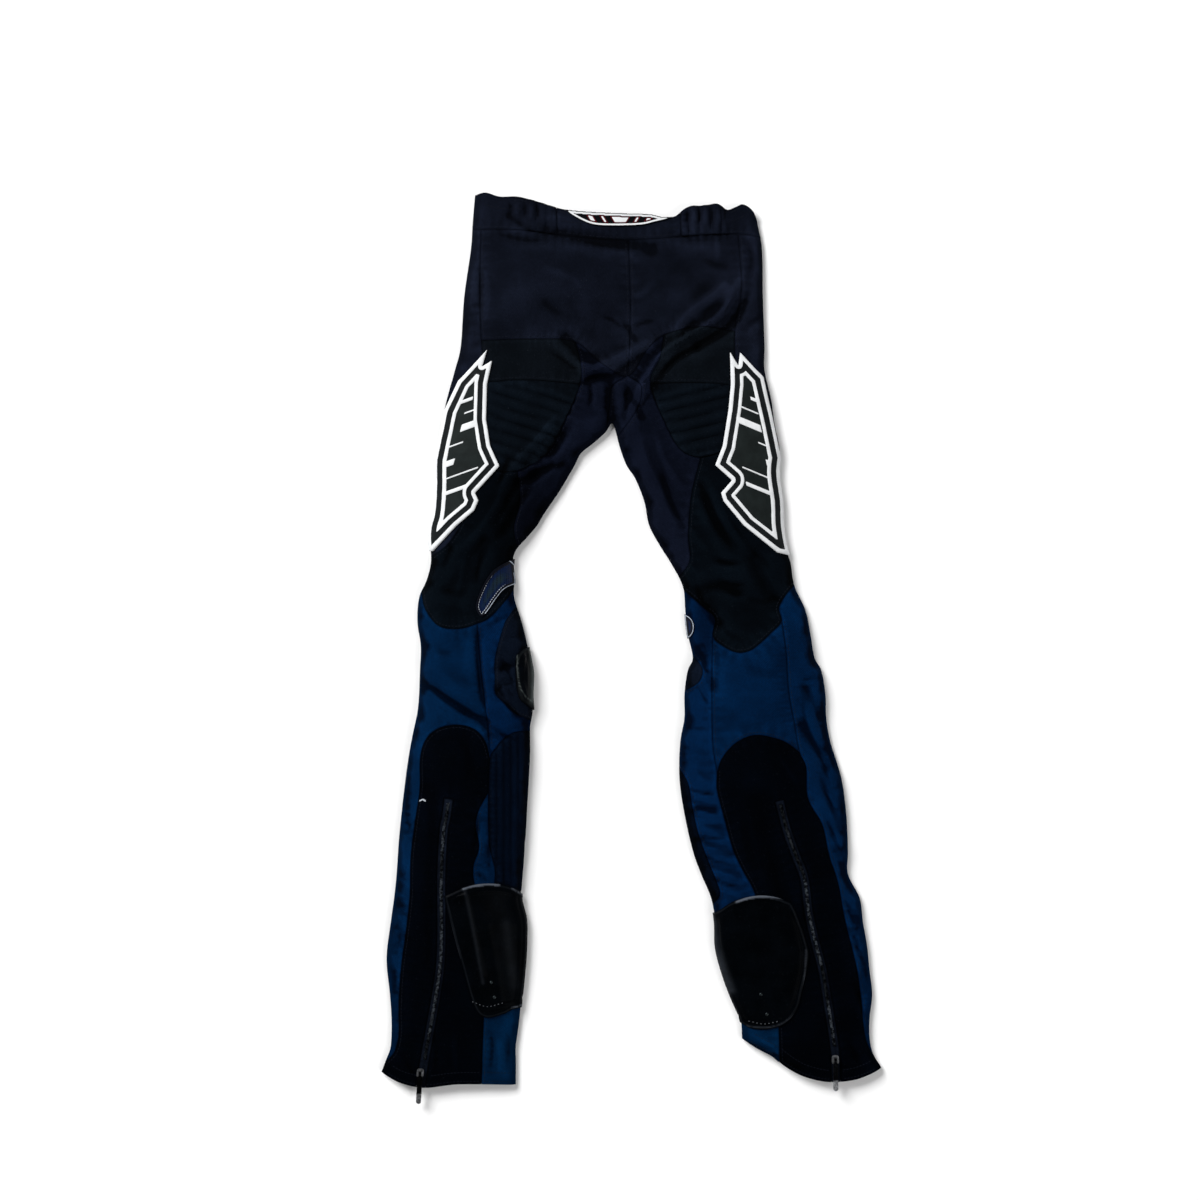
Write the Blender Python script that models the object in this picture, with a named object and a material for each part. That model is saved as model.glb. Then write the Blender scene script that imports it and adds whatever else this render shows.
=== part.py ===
"""Motorcycle trousers laid flat, seat side up, as separate cloth panels and hard pieces.

The garment frame is in millimetres: x to the right, y towards the waist, z up from the surface.
The upper panels follow one height field, worked out from sections across the hips and each leg.
Their seams, and the outlines of what lies on them, are lines of one triangle net, so each piece
is cut from the net and given its wall. The front panels lie flat under them.
"""

import math

import bpy
import numpy as np
from mathutils import Vector
from mathutils.geometry import delaunay_2d_cdt

# Driving sizes, in millimetres
WALL = 2.0
SEAM_GAP = 0.3
LIFT = 0.45
SIDE_HEIGHT = 5.0
EDGE_HEIGHT = 10.0
EDGE_ROLL = 12.0
DOME_FULLNESS = 0.7
TRAY_ROLL = 5.0
TRAY_TURN = 2.2
CROTCH_X = -22.0
CROTCH_Y = 268.0
LEG_START_Y = 330.0
LEG_FULL_Y = 235.0
ZIP_TAPE_HALF = 5.5
PIN_RADIUS = 0.8
PIN_IN_LUG = 0.6
EYE_BORE = 1.15
EYE_RADIUS = 2.2
EYE_WIDTH = 3.4
NECK_LENGTH = 3.6
NECK_OVERLAP = 2.0
LUG_THICK = 1.2
LUG_RADIUS = 2.4
LUG_SINK = 0.5
PIVOT_RISE = 2.7
SLIDER_LENGTH = 11.0
SLIDER_WIDTH = 8.6
SLIDER_THICK = 2.2
SLIDER_SQUARE = 0.6
PULL_LENGTH = 38.0
PULL_WIDTH = 6.0
PULL_THICK = 1.6

# Spacing of the net's points, in millimetres, and how clear of its lines they stay
TOP_STEP = 22.0
LINE_STEP = 19.0
SHARP_STEP = 22.0
TRAY_STEP = 40.0
FIELD_CLEAR = 0.55
EDGE_RINGS = (2.5, 9.0)
RING_CLEAR = 1.6
RIB_CLEAR = 2.2
FOLD_STEP = 15.0
FOLD_NEAR = 7.5
FOLD_CLEAR = 4.0
FOLD_EDGE_CLEAR = 10.0
WIDE_FOLD = 13.0
JOIN_NEAR = 3.0
SECTION_CLEAR = 5.0
SLOPE_STEP = 0.5
CORNER_REACH = 3.0

# The garment frame is moved so that the middle of the whole box is over the origin
CENTRE_X = 0.5
CENTRE_Y = -1.84

# Sections across the hips and each leg: height up the garment, the two side edges, the crown's height
TORSO = [  # y, left, right, crown
    (548, -186, 151, 12),
    (505, -190, 152, 17),
    (476, -192, 157, 20),
    (419, -200, 158, 23),
    (361, -204, 160, 25),
    (304, -220, 167, 26),
    (248, -229, 175, 26),
]
LEFT_LEG = [  # y, outer, inner, crown
    (332, -211, -22, 24),
    (296, -221, -22, 25),
    (268, -227, -22, 26),
    (258, -229, -30, 26),
    (246, -230, -43, 26),
    (232, -233, -60, 27),
    (217, -234, -68, 27),
    (188, -234, -85, 28),
    (160, -236, -104, 29),
    (145, -240, -113, 29),
    (131, -241, -125, 30),
    (116, -240, -138, 31),
    (100, -240, -142, 32),
    (80, -245, -140, 33),
    (59, -254, -140, 35),
    (30, -256, -131, 39),
    (1, -252, -124, 42),
    (-28, -253, -119, 44),
    (-56, -254, -119, 44),
    (-78, -256, -118, 43),
    (-97, -260, -121, 42),
    (-128, -266, -121, 42),
    (-172, -272, -124, 41),
    (-229, -278, -127, 40),
    (-272, -281, -131, 38),
    (-301, -284, -132, 36),
    (-330, -288, -126, 33),
    (-373, -293, -127, 28),
    (-416, -289, -131, 22),
    (-448, -287, -134, 18),
    (-478, -288, -138, 17),
    (-493, -293, -138, 16),
    (-508, -299, -138, 15),
    (-532, -299, -138, 15),
]
RIGHT_LEG = [  # y, inner, outer, crown
    (332, -22, 160, 24),
    (296, -22, 168, 25),
    (268, -22, 172, 26),
    (238, -13, 178, 27),
    (217, -5, 176, 27),
    (202, 5, 176, 28),
    (174, 16, 180, 29),
    (145, 22, 181, 30),
    (116, 38, 186, 31),
    (102, 47, 191, 32),
    (73, 62, 196, 34),
    (44, 65, 209, 36),
    (16, 68, 215, 40),
    (-13, 74, 220, 43),
    (-28, 68, 228, 44),
    (-56, 64, 233, 44),
    (-85, 64, 234, 43),
    (-114, 59, 239, 42),
    (-157, 58, 252, 42),
    (-200, 64, 258, 41),
    (-244, 74, 260, 39),
    (-272, 84, 260, 38),
    (-301, 96, 274, 36),
    (-330, 101, 278, 33),
    (-359, 102, 283, 30),
    (-388, 109, 286, 27),
    (-416, 119, 289, 23),
    (-445, 131, 286, 19),
    (-469, 134, 286, 18),
    (-487, 145, 290, 16),
    (-504, 152, 300, 15),
    (-532, 164, 300, 15),
]

# The waist's top edge, and the hems from one corner to the other
WAIST = [
    (-187, 541), (-174, 544), (-157, 539), (-136, 539), (-116, 534), (-97, 528), (-78, 523),
    (-49, 520), (-4, 518), (23, 517), (37, 514), (52, 515), (61, 522), (70, 527),
    (86, 528), (104, 530), (114, 523), (124, 526), (134, 530), (145, 523), (151, 511),
]
HEMS = {
    "left": [
        (-138, -524), (-172, -523), (-210, -523), (-248, -527), (-277, -521), (-299, -509),
    ],
    "right": [
        (300, -504), (284, -512), (265, -518), (236, -520), (208, -514), (188, -504),
        (169, -490), (150, -480), (133, -469),
    ],
}

# Seams of the seat and the backs of the legs, each set on the lines above it
SEAMS = {
    "waist_seam": [
        (-191, 500), (-133, 499), (-85, 493), (-31, 487), (23, 488), (83, 493),
        (131, 494), (155, 491),
    ],
    "elastic_left": [
        (-90, 527), (-88, 493),
    ],
    "elastic_right": [
        (58, 520), (60, 491),
    ],
    "side_seam_left": [
        (-179, 499), (-181, 428), (-179, 366), (-175, 316), (-181, 260), (-186, 222),
        (-199, 158), (-217, 125), (-240, 108),
    ],
    "side_seam_right": [
        (128, 494), (132, 428), (124, 378), (126, 313), (132, 245), (145, 176),
        (162, 134), (187, 113),
    ],
    "seat_hem": [
        (-179, 366), (-121, 368), (-68, 365), (-37, 340), (-4, 324), (18, 354),
        (40, 373), (83, 383), (124, 378),
    ],
    "seat_seam": [
        (-4, 487), (-1, 416), (-2, 356), (-4, 324),
    ],
    "stretch_edge_left": [
        (-68, 365), (-61, 342), (-61, 314), (-79, 272), (-103, 230), (-136, 211),
        (-160, 211), (-186, 222),
    ],
    "stretch_edge_right": [
        (40, 373), (34, 344), (23, 314), (44, 260), (61, 234), (83, 227),
        (109, 234), (132, 245),
    ],
    "pad_seam_left": [
        (-175, 316), (-121, 319), (-61, 314),
    ],
    "pad_seam_right": [
        (23, 314), (71, 316), (126, 313),
    ],
    "gusset_left": [
        (-4, 324), (-23, 311), (-26, 287), (-30, 259),
    ],
    "gusset_right": [
        (-4, 324), (12, 311), (7, 284), (-16, 251),
    ],
    "inner_seam_left": [
        (-136, 211), (-133, 176), (-140, 143), (-136, 118),
    ],
    "inner_seam_right": [
        (83, 227), (72, 182), (68, 134), (70, 104), (59, 84),
    ],
    "scallop_left": [
        (-253, 68), (-247, 48), (-236, 31), (-226, 24), (-212, 22), (-199, 23), (-184, 28),
        (-169, 35), (-152, 53), (-138, 70),
    ],
    "shin_edge_left": [
        (-119, -101), (-137, -101), (-151, -108), (-161, -120), (-168, -132), (-170, -173), (-169, -234),
        (-162, -268), (-167, -310), (-172, -376), (-176, -438), (-179, -523),
    ],
    "knee_edge_left": [
        (-136, 48), (-149, 32), (-157, 7), (-162, -16), (-162, -35), (-161, -55), (-150, -67),
        (-138, -79), (-116, -89),
    ],
    "back_seam_left": [
        (-184, 28), (-181, -4), (-176, -52), (-170, -100), (-168, -132),
    ],
    "calf_edge_left": [
        (-168, -132), (-173, -113), (-185, -98), (-205, -92), (-226, -95), (-239, -103), (-248, -116),
        (-252, -136), (-252, -168), (-257, -203), (-263, -250), (-264, -295), (-269, -341), (-275, -384),
        (-278, -430), (-278, -464), (-283, -484), (-298, -496),
    ],
    "calf_wedge_left": [
        (-170, -173), (-181, -193), (-185, -212), (-181, -238), (-188, -262), (-184, -289),
        (-167, -310),
    ],
    "hem_seam_left": [
        (-175, -420), (-154, -422), (-131, -419),
    ],
    "scallop_right": [
        (64, 68), (85, 49), (100, 34), (97, 13), (110, 1), (126, -6),
        (140, -4), (152, 4), (166, 17), (179, 31), (176, 47), (186, 64),
        (194, 74),
    ],
    "calf_inner_right": [
        (97, 13), (96, -40), (97, -112), (102, -148), (102, -169), (112, -208),
        (121, -240), (132, -264), (146, -290), (157, -328), (169, -388), (176, -452),
        (178, -496),
    ],
    "calf_outer_right": [
        (179, 31), (184, -4), (187, -52), (194, -90), (200, -124), (208, -142),
        (209, -174), (216, -192), (228, -212), (236, -248), (247, -281), (254, -320),
        (262, -352), (270, -385), (275, -420), (281, -469), (299, -498),
    ],
    "calf_arch_right": [
        (102, -148), (108, -132), (121, -116), (136, -107), (150, -104), (167, -107),
        (184, -113), (200, -124),
    ],
    "hem_seam_right": [
        (119, -425), (149, -439), (175, -436),
    ],
    "knee_edge_right": [
        (73, -11), (85, -26), (80, -42), (62, -53),
    ],
    "shin_edge_right": [
        (56, -145), (68, -163), (73, -191), (80, -222), (91, -253), (102, -280), (106, -295),
        (96, -310),
    ],
}

# The middles of the ankle zips, from the top end to the hem
ZIPS = {
    "zip_left": [
        (-217, -180), (-220, -203), (-223, -218), (-226, -272), (-226, -343), (-228, -382),
        (-233, -416), (-239, -450), (-246, -488), (-252, -526),
    ],
    "zip_right": [
        (176, -182), (185, -217), (196, -248), (206, -275), (211, -314), (218, -346),
        (228, -385), (234, -420), (240, -456), (244, -487), (245, -518),
    ],
}

# Outlines of the plates, guards and patches; where they pass the side edge the cloth's edge ends them
OUTLINES = {
    "hip_plate_left": [
        (-172, 355), (-178, 335), (-166, 342), (-172, 314), (-173, 272), (-168, 240),
        (-157, 216), (-186, 184), (-182, 175), (-187, 163), (-208, 145), (-236, 115),
        (-253, 115), (-253, 152), (-242, 176), (-235, 218), (-222, 283), (-206, 318),
    ],
    "hip_plate_right": [
        (118, 352), (128, 336), (130, 352), (157, 323), (167, 278), (178, 224),
        (193, 176), (193, 109), (174, 113), (134, 145), (110, 174), (107, 184),
        (120, 199), (100, 217), (109, 240), (116, 283), (119, 314),
    ],
    "ankle_guard_left": [
        (-222, -296), (-196, -284), (-173, -281), (-154, -283), (-137, -290), (-128, -301),
        (-109, -317), (-109, -424), (-132, -431), (-142, -433), (-152, -438), (-174, -442),
        (-188, -427), (-203, -373), (-210, -347), (-218, -313),
    ],
    "ankle_guard_right": [
        (88, -322), (102, -317), (124, -302), (155, -295), (184, -301), (194, -311),
        (208, -350), (211, -371), (204, -407), (198, -431), (184, -449), (166, -456),
        (146, -456), (132, -449), (116, -438), (83, -412),
    ],
    "knee_cup_left": [
        (-103, 2), (-126, -1), (-137, -11), (-138, -34), (-136, -54), (-128, -67),
        (-103, -77),
    ],
    "pod_left": [
        (-127, 113), (-157, 97), (-169, 86), (-179, 68), (-185, 49), (-179, 37),
        (-172, 42), (-160, 60), (-150, 71), (-127, 84),
    ],
    "pod_right": [
        (54, 44), (71, 36), (76, 25), (72, 13), (54, 4),
    ],
    "waist_patch": [
        (-83, 536), (-78, 523), (-67, 514), (-47, 505), (-23, 503), (11, 504),
        (29, 508), (44, 512), (56, 520), (56, 536),
    ],
}

# Main creases: start, middle and end, then half width, and height above or below the cloth
FOLDS = [
    (113, 426, 68, 390, 17, 311, 9, 5),
    (73, 385, 40, 354, 23, 313, 7, -4),
    (23, 323, 11, 294, 0, 258, 7, 3),
    (-78, 368, -61, 350, -44, 341, 7, -4),
    (-55, 331, -19, 341, 20, 360, 7, 4),
    (-49, 320, -13, 326, 11, 347, 6, -3),
    (-25, 313, -26, 290, -24, 270, 5, -3),
    (-4, 301, 6, 289, 11, 275, 5, -3),
    (-103, 498, -31, 485, 23, 476, 9, -3),
    (29, 469, 73, 440, 97, 390, 22, -3),
    (-157, 152, -191, 104, -229, 56, 10, 3),
    (-176, 128, -202, 89, -222, 66, 9, -4),
    (-157, 119, -174, 86, -193, 53, 10, 3),
    (-252, -40, -218, -62, -174, -89, 6, -4),
    (-241, -30, -203, -56, -172, -78, 9, 2),
    (-161, -26, -151, -24, -139, -22, 5, -3),
    (-158, -52, -148, -66, -126, -90, 6, -3),
    (-181, 14, -178, -40, -170, -106, 6, -2),
    (71, 60, 88, 46, 102, 29, 7, -4),
    (83, 66, 102, 73, 126, 64, 8, -3),
    (82, -1, 90, -25, 96, -47, 6, -3),
    (208, -48, 224, -82, 238, -125, 8, -4),
    (202, -92, 220, -118, 238, -140, 8, -4),
    (68, -179, 83, -188, 98, -194, 6, -2.5),
    (73, -198, 90, -210, 109, -218, 6, -2),
    (80, -229, 100, -239, 119, -245, 6, -2.5),
    (88, -258, 107, -265, 126, -270, 6, -2),
    (229, -148, 241, -184, 248, -220, 9, -2.5),
    (248, -244, 260, -286, 268, -322, 8, -2.5),
    (265, -340, 275, -378, 280, -418, 7, -2),
    (-275, -148, -265, -184, -263, -226, 9, -2.5),
    (-280, -280, -272, -322, -280, -364, 8, -3),
    (-287, -376, -280, -412, -282, -448, 7, -2),
    (11, 248, 25, 200, 40, 152, 12, 2),
    (-85, 212, -103, 182, -121, 152, 12, -2.5),
    (143, 104, 161, 68, 179, 56, 10, -2.5),
    (-157, 416, -109, 428, -61, 416, 30, 2),
    (71, 416, 107, 428, 137, 416, 26, 2),
    (-241, -172, -234, -244, -239, -304, 12, -2),
    (149, -184, 164, -244, 179, -304, 12, -2),
]

# Ribs: start and end of a line across them, pitch, rise, plain margin, reach each way,
# spacing of points along them, and rows of points in a pitch
RIBS = {
    "thigh_stretch_left": (-116, 318, -150, 210, 14.0, 3.0, 9.0, 62.0, 18.0, 4),
    "thigh_stretch_right": (68, 316, 90, 224, 14.0, 3.0, 9.0, 62.0, 18.0, 4),
    "shin_pad_left": (-169, -191, -120, -191, 8.4, 1.2, 5.0, 96.0, 24.0, 2),
    "waistband_left": (-126, 514, -85, 511, 12.5, 2.5, 6.0, 24.0, 12.0, 2),
    "waistband_right": (56, 508, 118, 510, 13.0, 3.0, 6.0, 24.0, 12.0, 2),
}

# The part of each ribbed panel that the ribs fill
RIB_RINGS = {
    "thigh_stretch_left": [
        (-173, 312), (-64, 311), (-83, 272), (-106, 233), (-136, 215), (-160, 215),
        (-182, 226), (-178, 260),
    ],
    "thigh_stretch_right": [
        (26, 311), (125, 310), (130, 248), (109, 238), (83, 230), (64, 236),
        (47, 263),
    ],
    "shin_pad_left": [
        (-167, -132), (-151, -109), (-137, -101), (-122, -101), (-125, -184), (-128, -256),
        (-130, -284), (-161, -284), (-167, -234), (-168, -173),
    ],
    "waistband_left": [
        (-124, 534), (-92, 526), (-90, 494), (-124, 500),
    ],
    "waistband_right": [
        (61, 521), (71, 526), (86, 527), (104, 529), (115, 522), (116, 496),
        (62, 491),
    ],
}

# Upper panels: a place inside each, and its finish
PANELS = {
    "waistband_left": ((-157, 518), "navy_cloth"),
    "waistband_centre": ((-13, 500), "navy_cloth"),
    "waistband_right": ((107, 506), "navy_cloth"),
    "seat_left": ((-85, 416), "navy_cloth"),
    "seat_right": ((71, 428), "navy_cloth"),
    "hip_side_left": ((-193, 416), "navy_cloth"),
    "hip_side_right": ((145, 428), "navy_cloth"),
    "thigh_pad_left": ((-121, 344), "black_cloth"),
    "thigh_pad_right": ((83, 344), "black_cloth"),
    "thigh_stretch_left": ((-133, 266), "black_stretch"),
    "thigh_stretch_right": ((83, 272), "black_stretch"),
    "gusset": ((-13, 296), "navy_cloth"),
    "inner_thigh_left": ((-85, 218), "navy_cloth"),
    "inner_thigh_right": ((29, 212), "navy_cloth"),
    "thigh_back_left": ((-181, 104), "black_cloth"),
    "thigh_back_right": ((131, 104), "black_cloth"),
    "knee_back_left": ((-217, -16), "blue_cloth"),
    "knee_inner_left": ((-169, -4), "blue_cloth"),
    "knee_pad_left": ((-138, -52), "black_stretch"),
    "shin_pad_left": ((-145, -184), "navy_rib"),
    "calf_panel_left": ((-203, -244), "black_cloth"),
    "calf_wedge_left": ((-174, -226), "blue_cloth"),
    "zip_tape_left": ((-226, -272), "zip_tape"),
    "hem_left": ((-157, -484), "blue_cloth"),
    "knee_back_right": ((137, -52), "blue_cloth"),
    "outer_strip_right": ((221, -88), "blue_cloth"),
    "inner_strip_right": ((83, -112), "blue_cloth"),
    "knee_pad_right": ((74, -31), "black_stretch"),
    "shin_pad_right": ((71, -220), "navy_rib"),
    "calf_panel_right": ((173, -244), "black_cloth"),
    "zip_tape_right": ((206, -275), "zip_tape"),
    "hem_right": ((155, -474), "blue_cloth"),
}

# Seams of the front panels under them
TRAY_SEAMS = {
    "waist_front": [
        (-191, 500), (-109, 496), (-4, 493), (83, 496), (155, 493),
    ],
    "fly_edge": [
        (-23, 493), (-23, 416), (-18, 390), (-4, 376), (10, 390), (14, 416), (14, 494),
    ],
    "centre_front": [
        (-4, 376), (-13, 344), (-22, 268),
    ],
    "hip_front_left": [
        (-204, 361), (-121, 354), (-11, 347),
    ],
    "hip_front_right": [
        (160, 361), (83, 354), (-11, 347),
    ],
    "knee_top_left": [
        (-254, 56), (-198, 66), (-140, 56),
    ],
    "knee_low_left": [
        (-264, -112), (-193, -126), (-121, -112),
    ],
    "knee_top_right": [
        (198, 56), (131, 66), (64, 56),
    ],
    "knee_low_right": [
        (239, -112), (150, -126), (59, -112),
    ],
}

TRAY_PANELS = {
    "waistband_front": ((-13, 510), "navy_cloth"),
    "fly_flap": ((-4, 440), "navy_cloth"),
    "front_hip_left": ((-109, 416), "navy_cloth"),
    "front_hip_right": ((107, 416), "navy_cloth"),
    "front_thigh_left": ((-157, 200), "black_cloth"),
    "front_thigh_right": ((83, 200), "black_cloth"),
    "front_knee_left": ((-193, -28), "black_stretch"),
    "front_knee_right": ((143, -28), "black_stretch"),
    "front_shin_left": ((-217, -304), "navy_rib"),
    "front_shin_right": ((191, -304), "navy_rib"),
}

# What lies on the panels: thickness at the edge and in full, how far in it is full, and its finish
OVERLAYS = {
    "hip_plate_left": (2.0, 3.2, 12.0, "plate_grey"),
    "hip_plate_right": (2.0, 3.2, 12.0, "plate_grey"),
    "ankle_guard_left": (1.4, 3.4, 14.0, "guard_black"),
    "ankle_guard_right": (1.4, 3.4, 14.0, "guard_black"),
    "knee_cup_left": (1.6, 4.6, 16.0, "cup_grey"),
    "pod_left": (0.8, 1.4, 8.0, "mesh_blue"),
    "pod_right": (0.8, 1.4, 8.0, "mesh_blue"),
    "waist_patch": (0.8, 1.0, 6.0, "plate_grey"),
}
SHARP = ("hip_plate_left", "hip_plate_right")

# Zip pulls: the pivot, the direction the pull points in, and how far its end droops, in degrees
PULLS = {
    "left": ((-252.0, -509.0), (-2.4, -36.0), 11.0),
    "right": ((244.0, -493.0), (0.6, -35.0), 8.0),
}

FINISHES = {
    "navy_cloth": ((0.0042, 0.0056, 0.0110), 0.85),
    "black_cloth": ((0.0030, 0.0048, 0.0060), 0.8),
    "black_stretch": ((0.0022, 0.0040, 0.0055), 0.75),
    "blue_cloth": ((0.0010, 0.0110, 0.0400), 0.8),
    "navy_rib": ((0.0020, 0.0030, 0.0075), 0.8),
    "zip_tape": ((0.0030, 0.0035, 0.0050), 0.8),
    "plate_grey": ((0.0110, 0.0160, 0.0160), 0.45),
    "guard_black": ((0.0015, 0.0018, 0.0025), 0.35),
    "cup_grey": ((0.0130, 0.0160, 0.0185), 0.25),
    "mesh_blue": ((0.0080, 0.0150, 0.0300), 0.6),
    "zip_metal": ((0.3500, 0.3500, 0.3600), 0.35, 1.0),
}


def smoothstep(value):
    """A soft step from 0 to 1 as the value goes from 0 to 1."""
    t = np.clip(value, 0.0, 1.0)
    return t * t * (3.0 - 2.0 * t)


def curve(points, step, smooth=True):
    """Points about a step apart along a curve through the given points."""
    points = np.array(points, float)
    if smooth and len(points) > 2:
        ends = np.vstack([2 * points[0] - points[1], points, 2 * points[-1] - points[-2]])
        fine = []
        for a, b, c, d in zip(ends, ends[1:], ends[2:], ends[3:]):
            for t in np.arange(0.0, 1.0, 0.1):
                fine.append(
                    0.5 * (2 * b + (c - a) * t + (2 * a - 5 * b + 4 * c - d) * t**2
                           + (3 * b - a - 3 * c + d) * t**3)
                )
        fine.append(points[-1])
        points = np.array(fine)
    run = np.concatenate([[0.0], np.cumsum(np.hypot(*np.diff(points, axis=0).T))])
    count = max(1, round(run[-1] / step))
    marks = np.linspace(0.0, run[-1], count + 1)
    return np.column_stack([np.interp(marks, run, points[:, 0]), np.interp(marks, run, points[:, 1])])


def edge_of(sections, column):
    """The side edge in one column of a section table, as points from the top down."""
    return [(row[column], row[0]) for row in sections]


def read_section(sections, y):
    """The left edge, right edge and crown height of a section table at each y."""
    rows = np.array(sections)[::-1]
    return [np.interp(y, rows[:, 0], rows[:, column]) for column in (1, 2, 3)]


def dome(sections, x, y):
    """The rounded section of a tube laid flat: from the edge height up to the crown."""
    left, right, crown = read_section(sections, y)
    across = np.clip((x - left) / (right - left), 0.0, 1.0)
    return EDGE_HEIGHT + (crown - EDGE_HEIGHT) * (1.0 - (2.0 * across - 1.0) ** 2) ** DOME_FULLNESS


def line_distance(x, y, line):
    """The distance from each point to the nearest place on a line of points."""
    p = np.stack([np.ravel(x), np.ravel(y)], axis=1)[:, None, :]
    a = np.array(line[:-1])[None]
    ab = np.array(line[1:])[None] - a
    t = np.clip(((p - a) * ab).sum(2) / (ab**2).sum(2), 0.0, 1.0)
    gap = p - a - t[:, :, None] * ab
    return np.sqrt((gap**2).sum(2)).min(1).reshape(np.shape(x))


def sides():
    """The closed side edges: outer left, outer right and the inner edges over the crotch."""
    def between(points, low, high):
        return [p for p in points if low[1] + SECTION_CLEAR < p[1] < high[1] - SECTION_CLEAR]

    middle = (CROTCH_X, CROTCH_Y)
    start, end = (0.0, LEG_START_Y), (0.0, LEG_START_Y + 2.0 * SECTION_CLEAR)
    hem_out, hem_in = HEMS["left"][-1], HEMS["left"][0]
    left = [WAIST[0]] + between(edge_of(TORSO, 1), start, WAIST[0])
    left += between(edge_of(LEFT_LEG, 1), hem_out, end) + [hem_out]
    inner = [hem_in] + between(edge_of(LEFT_LEG, 2), hem_in, middle)[::-1] + [middle]
    hem_out, hem_in = HEMS["right"][0], HEMS["right"][-1]
    right = [WAIST[-1]] + between(edge_of(TORSO, 2), start, WAIST[-1])
    right += between(edge_of(RIGHT_LEG, 2), hem_out, end) + [hem_out]
    inner += between(edge_of(RIGHT_LEG, 1), hem_in, middle) + [hem_in]
    return curve(left, LINE_STEP), curve(right, LINE_STEP), curve(inner, LINE_STEP)


def side_distance(x, y):
    """The distance of each point from the nearest closed side edge."""
    return np.minimum.reduce([line_distance(x, y, line) for line in SIDES])


def fold_relief(x, y):
    """The main creases: soft ridges and troughs along short curves."""
    relief = np.zeros(np.shape(x))
    for x0, y0, x1, y1, x2, y2, width, depth in FOLDS:
        away = line_distance(x, y, curve([(x0, y0), (x1, y1), (x2, y2)], width))
        relief += depth * np.exp(-((away / width) ** 2))
    return relief


def height(x, y):
    """The height of the upper panels' outer face above the surface."""
    leg = np.where(x < CROTCH_X, dome(LEFT_LEG, x, y), dome(RIGHT_LEG, x, y))
    into_leg = smoothstep((LEG_START_Y - y) / (LEG_START_Y - LEG_FULL_Y))
    body = dome(TORSO, x, y) * (1.0 - into_leg) + leg * into_leg
    inside = np.clip(side_distance(x, y) / EDGE_ROLL, 0.0, 1.0)
    roll = np.sqrt(1.0 - (1.0 - inside) ** 2)
    return SIDE_HEIGHT + (body - SIDE_HEIGHT + fold_relief(x, y)) * roll


def tray_height(x, y):
    """The height of the front panels' outer face: flat on the surface, turned up at the sides."""
    out = 1.0 - np.clip(side_distance(x, y) / TRAY_ROLL, 0.0, 1.0)
    return (SIDE_HEIGHT - SEAM_GAP) * out**TRAY_TURN


def rib_relief(name, x, y):
    """How far a ribbed panel's outer points stand up from its plain wall."""
    if name not in RIBS:
        return np.zeros(np.shape(x))
    x0, y0, x1, y1, pitch, rise, margin = RIBS[name][:7]
    length = math.hypot(x1 - x0, y1 - y0)
    run = ((x - x0) * (x1 - x0) + (y - y0) * (y1 - y0)) / length
    fade = smoothstep(run / margin) * smoothstep((length - run) / margin)
    return rise * fade * (0.5 - 0.5 * np.cos(2.0 * math.pi * run / pitch))


class Net:
    """A flat triangle net with named lines; each line is a seam, an outline or an open edge."""

    def __init__(self):
        self.lines = []

    def add(self, kind, points):
        self.lines.append([kind, np.array(points, float)])

    def join(self, point):
        """The place on the lines so far that is nearest a new line's end, made a point of its line."""
        best = None
        for index, (kind, points) in enumerate(self.lines):
            if kind == "outline":
                continue
            a, ab = points[:-1], np.diff(points, axis=0)
            t = np.clip(((point - a) * ab).sum(1) / (ab**2).sum(1), 0.0, 1.0)
            foot = a + t[:, None] * ab
            away = np.hypot(*(foot - point).T)
            k = int(np.argmin(away))
            if best is None or away[k] < best[0]:
                best = (away[k], index, k, foot[k])
        foot, index, k = best[3], best[1], best[2]
        points = self.lines[index][1]
        near = min((k, k + 1), key=lambda i: np.hypot(*(points[i] - foot)))
        if np.hypot(*(points[near] - foot)) < JOIN_NEAR:
            return points[near]
        self.lines[index][1] = np.insert(points, k + 1, foot, axis=0)
        return foot

    def add_seam(self, points, step=LINE_STEP):
        """A seam whose two ends are set on the nearest earlier lines."""
        points = np.array(points, float)
        points[0] = self.join(points[0])
        points[-1] = self.join(points[-1])
        self.add("seam", curve(points, step))

    def triangulate(self, free_points, boundary):
        """The triangles inside the boundary, and the kind of each line edge."""
        places, index_of, edges, kinds = [], {}, [], []

        def place(point):
            key = (round(point[0], 3), round(point[1], 3))
            if key not in index_of:
                index_of[key] = len(places)
                places.append(Vector(key))
            return index_of[key]

        for kind, points in self.lines:
            ids = [place(point) for point in points]
            for a, b in zip(ids, ids[1:]):
                if a != b:
                    edges.append((a, b))
                    kinds.append(kind)
        for point in free_points:
            place(point)
        verts, out_edges, faces, _, edge_ids, _ = delaunay_2d_cdt(places, edges, [], 0, 0.4, True)
        verts = np.array([(v.x, v.y) for v in verts])
        faces = np.array(faces)
        faces = faces[within(verts[faces].mean(1), boundary)]
        kind_of = {}
        for edge, ids in zip(out_edges, edge_ids):
            names = {kinds[i] for i in ids}
            if names:
                kind_of[tuple(sorted(edge))] = "seam" if names & {"seam", "open"} else "outline"
        return verts, faces, kind_of


def within(points, outline):
    """Whether each point is inside a closed outline."""
    x, y = points[:, 0], points[:, 1]
    found = np.zeros(len(points), bool)
    for (x0, y0), (x1, y1) in zip(outline, np.roll(outline, -1, axis=0)):
        crosses = (y0 > y) != (y1 > y)
        rise = (y1 - y0) if y1 != y0 else 1.0
        found ^= crosses & (x < x0 + (y - y0) * (x1 - x0) / rise)
    return found


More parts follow.
